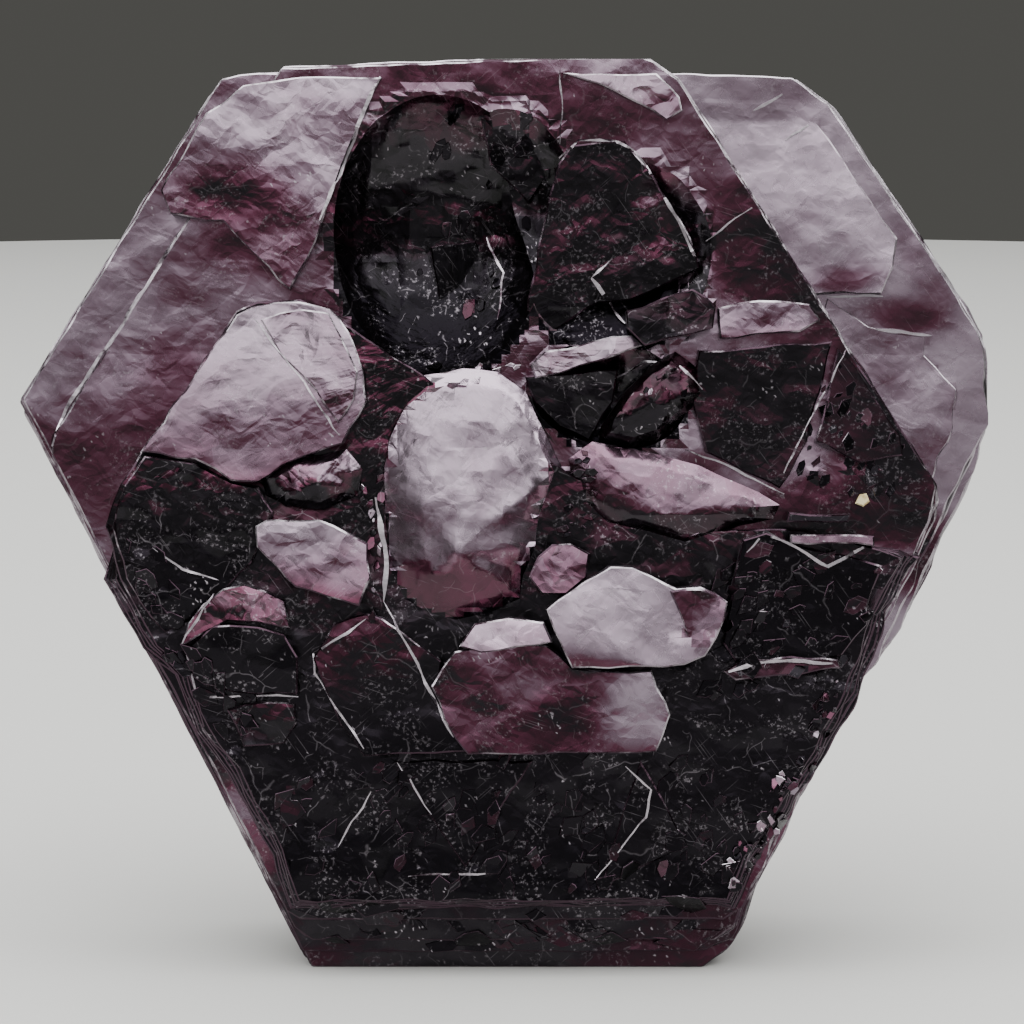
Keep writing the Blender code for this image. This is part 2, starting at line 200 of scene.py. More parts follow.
@dataclass(frozen=True)
class Flake:
    """A flake, plate, shard or scale: an outline run from its tilted front face to its back."""

    name: str
    outline: Outline
    front: float
    back: float
    rise: float
    turn: float
    tone: Tone
    # fade paints the face darker towards the bottom of its outline, as painted shade.
    fade: float = 0.0
    crumple: float = 0.2
    bevel: float = 0.045
    jag: float = 0.05
    run: float = 0.55
    slot: Slot = Slot.CLEAVAGE
    jag_gain: float = 1.6
    jag_pitch: float = 1.9

    @property
    def middle(self) -> tuple[float, float]:
        """The mean of the outline's corners, about which the face tilts."""
        count = len(self.outline)
        return sum(x for x, _ in self.outline) / count, sum(z for _, z in self.outline) / count

    def depth_at(self, x: np.ndarray | float, height: np.ndarray | float) -> np.ndarray | float:
        """The depth of the front face at a place in the sheets' plane.

        Args:
            x: Where, to the right.
            height: Where, along the sheets.

        Returns:
            The depth in millimetres.
        """
        middle_x, middle_z = self.middle
        up = math.tan(math.radians(self.rise))
        across = math.tan(math.radians(self.turn))
        return self.front + (height - middle_z) * up + (x - middle_x) * across

    def ragged(self) -> Outline:
        """The outline with its sides broken into short runs that stray a little, as torn sheets do.

        Returns:
            The corners in order.
        """
        points = []
        for (ax, az), (bx, bz) in zip(self.outline, self.outline[1:] + self.outline[:1]):
            length = math.hypot(bx - ax, bz - az)
            parts = max(1, round(length / self.run))
            for part in range(parts):
                x = ax + (bx - ax) * part / parts
                z = az + (bz - az) * part / parts
                spot = Vector((x * self.jag_pitch, self.front * 7.0, z * self.jag_pitch))
                stray = self.jag * self.jag_gain * noise.noise(spot)
                points.append((x + stray * (bz - az) / length, z - stray * (bx - ax) / length))
        return tuple(points)


@dataclass(frozen=True)
class Swelling:
    """A mound: its outline drawn in towards a peak in rings of share and lift, its part below low_height
    painted in the low tone as shade.
    """

    name: str
    outline: Outline
    peak: tuple[float, float]
    rings: tuple[tuple[float, float], ...]
    front: float
    crumple: float
    tone: Tone
    low_tone: Tone
    low_height: float


@dataclass(frozen=True)
class Bowl:
    """A rounded hollow cut by an ellipsoid, painted dark in its tone as shade."""

    name: str
    middle: tuple[float, float, float]
    reach: tuple[float, float, float]
    tilt: float
    tone: Tone


@dataclass(frozen=True)
class SoftShade:
    """A patch of painted reflection or shade: the bare sheets, the twin's or a named flake lighter or darker,
    fading outwards.
    """

    middle: tuple[float, float]
    reach: tuple[float, float]
    tone: Tone
    turn: float = 0.0
    on: str = "front"

    def nearness(self, x: np.ndarray, height: np.ndarray) -> np.ndarray:
        """How strongly each place takes this shade, from 0 to 1.

        Args:
            x: The places' distances to the right.
            height: Their heights.

        Returns:
            One share a place.
        """
        turn = math.radians(self.turn)
        right = x - self.middle[0]
        up = height - self.middle[1]
        across = (right * math.cos(turn) + up * math.sin(turn)) / self.reach[0]
        along = (up * math.cos(turn) - right * math.sin(turn)) / self.reach[1]
        return np.exp(-((across**2 + along**2) ** 1.5) * 1.2)


@dataclass(frozen=True)
class Torn:
    """A torn edge that stands up as a thin ridge: its path over the face, width, lift, and the tone of its
    painted highlight.
    """

    name: str
    path: Outline
    width: float = 0.07
    lift: float = 0.06
    tone: Tone = Tone.PALE


@dataclass(frozen=True)
class ScaleBed:
    """A stretch of the face strewn with small broken scales, painted in tones of reflection and glint."""

    name: str
    outline: Outline
    count: int
    size: tuple[float, float]
    lift: tuple[float, float]
    tilt: float
    tones: tuple[Tone, ...]
    lean: float = 0.0
    stretch: float = 1.6


class Bench:
    """The modelling bench: Blender's own operators, used as by hand.

    ON_PLANE is how near a plane a point counts as on it, in metres. A face looks to the front where at most
    TO_FRONT of its normal points inwards. The face is felt from the depth FEEL_FROM, in millimetres, and
    where less than STEEPEST of its normal looks out it is a wall.
    """

    ON_PLANE = 1e-7
    TO_FRONT = -0.6
    FEEL_FROM = -8.0
    STEEPEST = 0.45

    @staticmethod
    def clear() -> None:
        """Deselects everything in object mode."""
        if bpy.context.object and bpy.context.object.mode != "OBJECT":
            bpy.ops.object.mode_set(mode="OBJECT")
        bpy.ops.object.select_all(action="DESELECT")

    @staticmethod
    def pick(piece: bpy.types.Object) -> None:
        """Makes a piece the only selected one, and active."""
        Bench.clear()
        piece.select_set(True)
        bpy.context.view_layer.objects.active = piece

    @staticmethod
    def named(name: str, dressed: bool = True) -> bpy.types.Object:
        """Names the object just added, and gives it the crystal's slots.

        Args:
            name: The piece's name.
            dressed: Whether it takes the crystal's materials.

        Returns:
            The active object.
        """
        piece = bpy.context.object
        piece.name = name
        piece.data.name = name
        if dressed:
            for finish in FINISHES:
                piece.data.materials.append(finish)
        return piece

    @staticmethod
    def plate(name: str, corners: list[Vector]) -> bpy.types.Object:
        """Adds one face with many corners.

        Args:
            name: The piece's name.
            corners: The places of its corners, in order.

        Returns:
            The face, in object mode.
        """
        Bench.clear()
        bpy.ops.mesh.primitive_circle_add(vertices=len(corners), radius=MM, fill_type="NGON")
        piece = Bench.named(name)
        for vert, corner in zip(piece.data.vertices, corners):
            vert.co = corner
        return piece

    @staticmethod
    def cut(place: Vector, facing: Vector) -> None:
        """Cleaves the selected mesh by a plane and closes it, dropping what lies beyond.

        Args:
            place: A point of the plane, in metres.
            facing: The way out.
        """
        bpy.ops.mesh.select_all(action="SELECT")
        bpy.ops.mesh.bisect(
            plane_co=place, plane_no=facing, use_fill=True, clear_outer=True, threshold=Bench.ON_PLANE
        )

    @staticmethod
    def bevel(width: float) -> None:
        """Takes the selected edges in edit mode down by a width in millimetres, in the finish of painted edge
        highlights.
        """
        bpy.ops.mesh.bevel(offset=width * MM, segments=1, affect="EDGES", material=int(Slot.EDGE_GLINT))

    @staticmethod
    def choose_front(piece: bpy.types.Object) -> None:
        """Selects, in edit mode, only the faces of a piece that look to the front.

        Args:
            piece: The piece in edit mode.
        """
        bpy.ops.mesh.select_all(action="DESELECT")
        bpy.ops.mesh.select_mode(type="FACE")
        bpy.ops.object.mode_set(mode="OBJECT")
        for face in piece.data.polygons:
            face.select = face.normal.dot(SPACE.inwards) < Bench.TO_FRONT
        bpy.ops.object.mode_set(mode="EDIT")

    @staticmethod
    def thicken(depth: float) -> None:
        """Extrudes the whole face in edit mode inwards by a depth in millimetres and faces it outwards."""
        bpy.ops.mesh.select_all(action="SELECT")
        bpy.ops.mesh.extrude_region_move(TRANSFORM_OT_translate={"value": SPACE.inwards * (depth * MM)})
        Bench.face_outwards()

    @staticmethod
    def face_outwards() -> None:
        """Turns every face of the closed mesh in edit mode outwards."""
        bpy.ops.mesh.select_all(action="SELECT")
        bpy.ops.mesh.normals_make_consistent(inside=False)

    @staticmethod
    def settle(piece: bpy.types.Object) -> None:
        """Lists a plain mesh's faces and their corners in one fixed order.

        The operators may list them otherwise each run, and a union then leaves small patches otherwise.

        Args:
            piece: The piece in object mode, in its first finish.
        """
        places = [tuple(vert.co) for vert in piece.data.vertices]
        faces = []
        for face in piece.data.polygons:
            corners = tuple(face.vertices)
            first = corners.index(min(corners))
            faces.append(corners[first:] + corners[:first])
        piece.data.clear_geometry()
        piece.data.from_pydata(places, [], sorted(faces))

    @staticmethod
    def combine(target: bpy.types.Object, tools: list[bpy.types.Object], operation: str) -> None:
        """Joins tools to the target, or cuts them from it, and removes them.

        Args:
            target: The piece that is changed.
            tools: The closed solids that act on it.
            operation: UNION or DIFFERENCE.
        """
        tray = bpy.data.collections.new("tray")
        bpy.context.scene.collection.children.link(tray)
        for tool in tools:
            for home in list(tool.users_collection):
                home.objects.unlink(tool)
            tray.objects.link(tool)
        Bench.pick(target)
        modifier = target.modifiers.new(operation.lower(), "BOOLEAN")
        modifier.operation = operation
        modifier.operand_type = "COLLECTION"
        modifier.collection = tray
        modifier.solver = "EXACT"
        bpy.ops.object.modifier_apply(modifier=modifier.name)
        for tool in tools:
            bpy.data.objects.remove(tool)
        bpy.data.collections.remove(tray)

    @staticmethod
    def keep(piece: bpy.types.Object, name: str, values: np.ndarray, domain: str) -> None:
        """Stores one number a vertex or corner under a name."""
        kept = piece.data.attributes.new(name, "FLOAT", domain)
        kept.data.foreach_set("value", values.astype(np.float32))

    @staticmethod
    def read(rows: bpy.types.bpy_prop_collection, key: str, width: int = 1, kind: type = float) -> np.ndarray:
        """Reads one property of every element of a mesh.

        Args:
            rows: The vertices, corners, faces or kept values.
            key: The property's name.
            width: How many numbers it has.
            kind: Whether they are whole numbers or not.

        Returns:
            One number an element, or one row where the property has several.
        """
        values = np.empty(len(rows) * width, kind)
        rows.foreach_get(key, values)
        return values if width == 1 else values.reshape(-1, width)

    @staticmethod
    def paint(piece: bpy.types.Object, slot: Slot) -> None:
        """Gives every face of a piece one material slot."""
        for face in piece.data.polygons:
            face.material_index = int(slot)

    @staticmethod
    def gather(target: bpy.types.Object, parts: list[bpy.types.Object]) -> None:
        """Takes closed parts that are sunk into the target into its mesh.

        Args:
            target: The piece that takes them in.
            parts: The closed parts.
        """
        Bench.pick(target)
        for part in parts:
            part.select_set(True)
        bpy.ops.object.join()

    @staticmethod
    def surface_at(piece: bpy.types.Object, x: float, height: float) -> tuple[float, float, float] | None:
        """Feels for the surface from the front.

        Args:
            piece: The solid.
            x: Where, to the right.
            height: Where, along the sheets.

        Returns:
            The depth there and the slopes upwards and to the right, or None off the piece and on walls.
        """
        hit, place, normal, _ = piece.ray_cast(SPACE.point(x, Bench.FEEL_FROM, height), SPACE.inwards)
        towards = -normal.dot(SPACE.inwards) if hit else 0.0
        if towards < Bench.STEEPEST:
            return None
        depth = SPACE.measured(np.array([place]))[0][1]
        return depth, normal.dot(SPACE.up) / towards, normal.dot(SPACE.right) / towards


class Term:
    """A shader socket or number that takes part in sums as a Python value does."""

    def __init__(self, graph: "Graph", socket: object) -> None:
        """Keeps the graph that new Math nodes go into, and the socket."""
        self.graph = graph
        self.socket = socket

    def _math(self, operation: str, first: object, second: object) -> "Term":
        """One Math node on two values."""
        return self.graph.node("ShaderNodeMath", {"operation": operation}, {0: first, 1: second})

    def __add__(self, other: object) -> "Term":
        """The sum."""
        return self._math("ADD", self, other)

    def __radd__(self, other: object) -> "Term":
        """The sum, reflected."""
        return self._math("ADD", other, self)

    def __sub__(self, other: object) -> "Term":
        """The difference."""
        return self._math("SUBTRACT", self, other)

    def __rsub__(self, other: object) -> "Term":
        """The difference, reflected."""
        return self._math("SUBTRACT", other, self)

    def __mul__(self, other: object) -> "Term":
        """The product."""
        return self._math("MULTIPLY", self, other)

    def __rmul__(self, other: object) -> "Term":
        """The product, reflected."""
        return self._math("MULTIPLY", other, self)

    def __truediv__(self, other: object) -> "Term":
        """The quotient."""
        return self._math("DIVIDE", self, other)

    def __rtruediv__(self, other: object) -> "Term":
        """The quotient, reflected."""
        return self._math("DIVIDE", other, self)

    def __pow__(self, other: object) -> "Term":
        """The power."""
        return self._math("POWER", self, other)

    def __rpow__(self, other: object) -> "Term":
        """The power, reflected."""
        return self._math("POWER", other, self)

    def least(self, other: object) -> "Term":
        """The smaller of two values."""
        return self._math("MINIMUM", self, other)

    def most(self, other: object) -> "Term":
        """The larger of two values."""
        return self._math("MAXIMUM", self, other)

    def between(self, low: float, high: float) -> "Term":
        """A smooth step from 0 at low to 1 at high, which may be the smaller of the two."""
        if low < high:
            return self._step(low, high, 0.0, 1.0)
        return self._step(high, low, 1.0, 0.0)

    def _step(self, low: float, high: float, at_low: float, at_high: float) -> "Term":
        """A Map Range node with a smooth step.

        Args:
            low: Where the step starts.
            high: Where it ends.
            at_low: The value below it.
            at_high: The value above it.

        Returns:
            The stepped value.
        """
        return self.graph.node(
            "ShaderNodeMapRange",
            {"interpolation_type": "SMOOTHSTEP"},
            {"Value": self, "From Min": low, "From Max": high, "To Min": at_low, "To Max": at_high},
        )


class Graph:
    """A material's node graph, read and written through terms."""

    def __init__(self, name: str) -> None:
        """Starts a material with its Principled shader.

        Args:
            name: The material's name.
        """
        self.material = bpy.data.materials.new(name)
        self.material.use_nodes = True
        self.tree = self.material.node_tree
        self.shader = self.tree.nodes["Principled BSDF"]

    def node(self, kind: str, settings: dict, values: dict, output: object = 0) -> Term:
        """Adds one node.

        Args:
            kind: The node's type.
            settings: Properties set on the node first.
            values: Its inputs by name or number, as values or terms.
            output: The name or number of the output to return.

        Returns:
            The chosen output.
        """
        made = self.tree.nodes.new(kind)
        for key, value in settings.items():
            if key == "stops":
                self._set_stops(made.color_ramp, value)
            else:
                setattr(made, key, value)
        for key, value in values.items():
            self.feed(made.inputs[key], value)
        return Term(self, made.outputs[output])

    def _set_stops(self, ramp: bpy.types.ColorRamp, stops: list) -> None:
        """Writes a ramp's stops as pairs of place and colour.

        Args:
            ramp: The ramp.
            stops: Its places, each with a colour.
        """
        while len(ramp.elements) < len(stops):
            ramp.elements.new(1.0)
        for element, (place, colour) in zip(ramp.elements, stops):
            element.position = place
            element.color = (*colour, 1.0)

    def feed(self, socket: bpy.types.NodeSocket, value: object) -> None:
        """Links a term to a socket, or sets its value.

        Args:
            socket: The input.
            value: A term, number, vector or colour.
        """
        if isinstance(value, Term):
            self.tree.links.new(value.socket, socket)
        else:
            socket.default_value = value

    def set(self, **values: object) -> None:
        """Feeds the Principled shader, with underscores for the spaces of its sockets' names."""
        for key, value in values.items():
            self.feed(self.shader.inputs[key.replace("_", " ")], value)

    def attribute(self, name: str) -> Term:
        """A number kept on the mesh."""
        return self.node("ShaderNodeAttribute", {"attribute_name": name}, {}, "Fac")

    def sheet_coordinates(self) -> Term:
        """Object coordinates in millimetres: X to the right, Y along the sheets and Z out of them.

        Returns:
            The turned coordinates.
        """
        place = self.node("ShaderNodeTexCoord", {}, {}, "Object")
        right, depth, height = SPACE.measured(np.zeros((1, 3)))[0]
        values = {
            "Vector": place,
            "Location": (right, height, -depth),
            "Rotation": (SPACE.lean - 0.5 * math.pi, 0.0, 0.0),
            "Scale": (1.0 / MM, 1.0 / MM, 1.0 / MM),
        }
        return self.node("ShaderNodeMapping", {}, values)

    def grained(self, place: Term, size: tuple[float, float, float], turn: float = 0.0) -> Term:
        """Coordinates turned in the sheets' plane and then divided by a grain's size, in millimetres."""
        values = {"Vector": place, "Rotation": (0.0, 0.0, turn), "Scale": size}
        return self.node("ShaderNodeMapping", {"vector_type": "TEXTURE"}, values)

    def strayed(self, place: Term, scale: float, reach: float) -> Term:
        """Coordinates that noise pushes about within a reach, in millimetres.

        Args:
            place: Sheet coordinates.
            scale: The noise's cells a millimetre.
            reach: The width of the play.

        Returns:
            The moved coordinates.
        """
        settings = {"Vector": place, "Scale": scale, "Detail": 2.0}
        drift = self.node("ShaderNodeTexNoise", {}, settings, "Color")
        values = {0: drift, 1: (reach, reach, reach), 2: place}
        return self.node("ShaderNodeVectorMath", {"operation": "MULTIPLY_ADD"}, values, "Vector")

    def along(self, vector: Term, direction: Vector) -> Term:
        """A vector's share in a direction."""
        return self.node(
            "ShaderNodeVectorMath", {"operation": "DOT_PRODUCT"}, {0: vector, 1: tuple(direction)}, "Value"
        )

    def cloud(self, place: Term, scale: float, detail: float = 3.0, roughness: float = 0.5,
              distortion: float = 0.0) -> Term:
        """Noise between about 0 and 1."""
        values = {"Vector": place, "Scale": scale, "Detail": detail, "Roughness": roughness,
                  "Distortion": distortion}
        return self.node("ShaderNodeTexNoise", {}, values, "Fac")

    def cells(self, place: Term, scale: float, feature: str = "F1", distance: str = "EUCLIDEAN",
              output: str = "Distance") -> Term:
        """Distance, or another output, in a field of cells that lies in the sheets' plane."""
        settings = {"voronoi_dimensions": "2D", "feature": feature, "distance": distance}
        return self.node("ShaderNodeTexVoronoi", settings, {"Vector": place, "Scale": scale}, output)

    def mixed(self, share: Term, first: object, second: object) -> Term:
        """A colour between two colours, which are terms or three numbers."""
        low, high = ((*end, 1.0) if isinstance(end, tuple) else end for end in (first, second))
        return self.node("ShaderNodeMix", {"data_type": "RGBA"}, {0: share, 6: low, 7: high}, 2)

    def bumped(self, height: Term, distance: float) -> Term:
        """A normal bent by a height field of about 0 to 1, which stands for a distance in millimetres."""
        return self.node("ShaderNodeBump", {}, {"Height": height, "Distance": distance * MM, "Strength": 1.0})


@dataclass(frozen=True)
class CleavageFinish:
    """The sheets' metal: creased, scratched, speckled, lined at the rims; painted reflection, highlights and
    glints.
    """

    # The ramp of the painted reflection: near black where a facet faces the dark, maroon, then pale mauve
    # where it is turned to the light.
    stops: tuple = (
        (0.0, (0.006, 0.005, 0.007)),
        (0.2, (0.017, 0.014, 0.018)),
        (0.34, (0.042, 0.013, 0.023)),
        (0.47, (0.095, 0.024, 0.048)),
        (0.58, (0.135, 0.060, 0.094)),
        (0.72, (0.210, 0.140, 0.188)),
        (1.0, (0.410, 0.325, 0.400)),
    )
    # The colour of the painted glints.
    glint: tuple = (0.50, 0.45, 0.50)
    rim_dark: tuple = (0.030, 0.024, 0.030)
    rim_light: tuple = (0.330, 0.280, 0.330)
    roughness: float = 0.27
    satin_share: float = 0.25
    scratch_dulling: float = 0.1
    rim_dulling: float = 0.08
    coat_least: float = 0.06
    coat_share: float = 0.5
    coat_roughness: float = 0.12
    coat_ior: float = 1.6
    upturn_highlight_gain: float = 2.6
    upturn_highlight_reach: float = 0.22
    ray_middle: tuple[float, float] = (-1.5, 18.8)
    ray_round: float = 1.5
    ray_spread: float = 6.0
    ray_length: float = 0.35
    large_grain: tuple = ((1.5, 1.1, 1.0), 0.6)
    small_grain: tuple = ((0.5, 0.4, 1.0), -0.5)
    scratch_glint_share: float = 0.14
    scratch_grains: tuple = ((0.62, 0.14, 5.0), (-0.85, 0.11, 3.5), (1.25, 0.12, 4.0))
    crack_glint_share: float = 0.2
    crack_nets: tuple = ((0.42, 0.014, 0.50), (1.15, 0.022, 0.54))
    dot_share: float = 0.7
    sparkle_share: float = 0.25
    rim_height: float = 0.03

    def build(self) -> bpy.types.Material:
        """Makes the material.

        Returns:
            The crystal's main material.
        """
        graph = Graph("cleavage")
        place = graph.sheet_coordinates()
        tone = graph.attribute("tone")
        crumple = graph.attribute("crumple")
        facing = 1.0 - graph.attribute("rim")
        rays = self._rays(graph, place)
        scratch_and_glint = self._scratches(graph, place)
        crack_glints = self._cracks(graph, place) * (0.25 + crumple).least(1.0)
        rims = self._rim_lines(graph, place)
        relief = self._relief(graph, place, rays, facing, crumple, rims)
        shade = self._shade(graph, place, rays, tone, crumple, relief)
        # Painted reflection: the tone, its mottle and its painted highlight, read on the ramp.
        tint = graph.node("ShaderNodeValToRGB", {"stops": self.stops}, {0: shade}, "Color")
        # Painted glints: scratches, hairlines and specks are drawn in the glint colour.
        line_glints = (scratch_and_glint * self.scratch_glint_share).most(crack_glints * self.crack_glint_share)
        painted_glints = line_glints.most(self._glint_specks(graph, place))
        glinted_tint = graph.mixed(painted_glints, tint, self.glint)
        rim_colour = graph.mixed(rims, self.rim_dark, self.rim_light)
        graph.set(Base_Color=graph.mixed(facing, rim_colour, glinted_tint), Metallic=1.0)
        satin = (graph.cloud(place, 1.4, 2.0, 0.6) - 0.5) * self.satin_share
        dulled = scratch_and_glint * self.scratch_dulling + (1.0 - facing) * self.rim_dulling
        graph.set(Roughness=self.roughness + satin + dulled)
        graph.set(Coat_Weight=(tone * self.coat_share * facing + self.coat_least).least(1.0))
        graph.set(Coat_Roughness=self.coat_roughness, Coat_IOR=self.coat_ior)
        graph.set(Normal=relief)
        return graph.material

    def _rays(self, graph: Graph, place: Term) -> Term:
        """Coordinates stretched along the lines that run out from the foot of the bowl.

        Args:
            graph: The material's graph.
            place: Sheet coordinates.

        Returns:
            Coordinates for streaks.
        """
        right = graph.node("ShaderNodeSeparateXYZ", {}, {0: place}, "X") - self.ray_middle[0]
        up = graph.node("ShaderNodeSeparateXYZ", {}, {0: place}, "Y") - self.ray_middle[1]
        radius = (right * right + up * up + self.ray_round) ** 0.5
        spread = {
            0: right / radius * self.ray_spread,
            1: up / radius * self.ray_spread,
            2: radius * self.ray_length,
        }
        return graph.node("ShaderNodeCombineXYZ", {}, spread)

    def _facets(self, graph: Graph, strayed: Term, output: str) -> tuple[Term, Term]:
        """An output of the cells of the large creased facets, and of the small ones.

        Args:
            graph: The material's graph.
            strayed: Coordinates moved by noise.
            output: The cells' output.

        Returns:
            The large facets' and the small ones'.
        """
        large, small = (
            graph.cells(graph.grained(strayed, *grain), 1.0, "F1", "MANHATTAN", output)
            for grain in (self.large_grain, self.small_grain)
        )
        return large, small

    def _shade(
        self, graph: Graph, place: Term, rays: Term, tone: Term, crumple: Term, relief: Term
    ) -> Term:
        """The local painted reflection: the facet's painted tone, patched by noise, with a painted highlight
        where the relief turns up.

        Args:
            graph: The material's graph.
            place: Sheet coordinates.
            rays: Coordinates for streaks.
            tone: The facet's painted reflection tone.
            crumple: How crumpled it is.
            relief: The bent normal.

        Returns:
            A place on the colour ramp.
        """
        # Painted reflection: streaks, patches and creased facets make the tone lighter and darker, as
        # crumpled metal reflects.
        streaks = graph.cloud(rays, 0.8, 3.0, 0.55, 0.3)
        strayed = graph.strayed(place, 0.9, 0.9)
        patches = graph.cloud(strayed, 0.36, 3.0, 0.55, 0.4)
        facets, chips = self._facets(graph, strayed, "Color")
        room = (0.1 + crumple * 1.6) * (0.04 + tone * 0.8)
        # Painted highlight: the tone is lifted where the bent normal turns up towards the light and lowered
        # where it turns down.
        tilt = (graph.along(relief, SPACE.up) * self.upturn_highlight_gain).least(self.upturn_highlight_reach).most(-self.upturn_highlight_reach)
        mottle = streaks + patches - 1.0 + (facets - 0.5) * 0.4 + (chips - 0.5) * 0.1
        return tone + mottle * room + tilt * tone.between(0.0, 0.4)

    def _scratches(self, graph: Graph, place: Term) -> Term:
        """Fine straight lines at several angles, thinned out by noise; drawn as painted glints and as duller
        roughness.

        Args:
            graph: The material's graph.
            place: Sheet coordinates.

        Returns:
            1 on a scratch, 0 away from it.
        """
        lines = None
        for angle, width, length in self.scratch_grains:
            grain = graph.grained(place, (width, length, 1.0), angle)
            line = graph.cells(grain, 1.0).between(0.12, 0.03)
            gate = graph.cloud(graph.grained(place, (1.3, 2.2, 3.0), angle), 0.9, 2.0, 0.6)
            line = line * gate.between(0.54, 0.68)
            lines = line if lines is None else lines.most(line)
        return lines

    def _cracks(self, graph: Graph, place: Term) -> Term:
        """A broken net of hairlines where thin sheets have lifted, drawn only as painted glints.

        Args:
            graph: The material's graph.
            place: Sheet coordinates.

        Returns:
            1 on a hairline, 0 away from it.
        """
        lines = None
        strayed = graph.strayed(place, 0.9, 1.1)
        for scale, width, low in self.crack_nets:
            net = graph.cells(strayed, scale, "DISTANCE_TO_EDGE").between(width, 0.0)
            gate = graph.cloud(place, 0.8 + scale, 2.0, 0.6).between(low, low + 0.05)
            lines = net * gate if lines is None else lines.most(net * gate)
        return lines

    def _glint_specks(self, graph: Graph, place: Term) -> Term:
        """Painted glints: pinpoints, and patches of fine sparkle where broken scales lie.

        Args:
            graph: The material's graph.
            place: Sheet coordinates.

        Returns:
            The share of glint.
        """
        where = graph.cloud(place, 0.7, 2.0, 0.7)
        ragged = graph.strayed(place, 5.0, 0.25)
        dots = graph.cells(graph.grained(ragged, (0.2, 0.34, 1.0), 0.6), 1.0).between(0.17, 0.07)
        sparkle = graph.cloud(place, 8.0, 2.0, 0.7).between(0.54, 0.70) * where.between(0.50, 0.42)
        return (dots * where.between(0.60, 0.70) * self.dot_share).most(sparkle * self.sparkle_share)

    def _rim_lines(self, graph: Graph, place: Term) -> Term:
        """The edges of the thinnest sheets, as fine lines around the rims."""
        thin = graph.grained(place, (5.5, 5.5, 0.14))
        return graph.cloud(thin, 1.0, 4.0, 0.7, 0.2).between(0.5, 0.72)

    def _relief(
        self, graph: Graph, place: Term, rays: Term, facing: Term, crumple: Term, rims: Term
    ) -> Term:
        """The bump, in millimetres: creases, waves and grain on the faces and fine edges on the rims.

        Args:
            graph: The material's graph.
            place: Sheet coordinates.
            rays: Coordinates for streaks.
            facing: 1 on faces, 0 on rims.
            crumple: How crumpled it is.
            rims: The lines on the rims.

        Returns:
            The bent normal.
        """
        large, small = self._facets(graph, graph.strayed(place, 0.9, 0.9), "Distance")
        streaks = graph.cloud(rays, 2.2, 2.0, 0.6, 0.3)
        grain = graph.cloud(place, 7.0, 2.0, 0.6)
        folds = large * (0.003 + crumple * 0.10) + small * (0.001 + crumple * 0.03)
        waves = streaks * (0.006 + crumple * 0.04) + grain * 0.0008
        return graph.bumped((folds + waves) * facing + rims * (1.0 - facing) * self.rim_height, 1.0)


@dataclass(frozen=True)
class EdgeGlintFinish:
    """Painted highlight and shade on the edges of sheets and flakes: bright in parts and where they face up,
    dark in others.
    """

    # The first colour is the edges' painted highlight, the second their painted shade.
    colour: tuple = (0.62, 0.57, 0.62)
    edge_shade: tuple = (0.050, 0.030, 0.042)
    roughness: float = 0.24
    grain_height: float = 0.015
    shaded_share: float = 0.3

    def build(self) -> bpy.types.Material:
        """Makes the material.

        Returns:
            The edges' material.
        """
        graph = Graph("edge_glint")
        place = graph.sheet_coordinates()
        tone = graph.attribute("tone")
        normal = graph.bumped(graph.cloud(place, 5.0), self.grain_height)
        # Painted highlight: edges that face up, and edges in a pale tone, are painted bright; the rest are
        # painted dark as shade.
        upward = graph.along(normal, SPACE.up).between(-0.5, 0.2)
        glint_patches = (graph.cloud(place, 1.0, 4.0, 0.65) + (tone - 0.5) * 0.4).between(0.42, 0.62)
        glinting = glint_patches * (self.shaded_share + upward * (1.0 - self.shaded_share))
        graph.set(Base_Color=graph.mixed(glinting, self.edge_shade, self.colour), Metallic=1.0)
        graph.set(Roughness=self.roughness + glinting * 0.1)
        graph.set(Normal=normal)
        return graph.material


@dataclass(frozen=True)
class SpeckFinish:
    """The one tan grain that sits on the dark right side."""

    colour: tuple = (0.42, 0.28, 0.10)
    pale: tuple = (0.72, 0.62, 0.36)
    roughness: float = 0.55

    def build(self) -> bpy.types.Material:
        """Makes the material.

        Returns:
            The grain's material.
        """
        graph = Graph("speck")
        grain = graph.cloud(graph.sheet_coordinates(), 5.0).between(0.35, 0.65)
        graph.set(Base_Color=graph.mixed(grain, self.colour, self.pale), Roughness=self.roughness)
        return graph.material


FINISHES: list[bpy.types.Material] = []


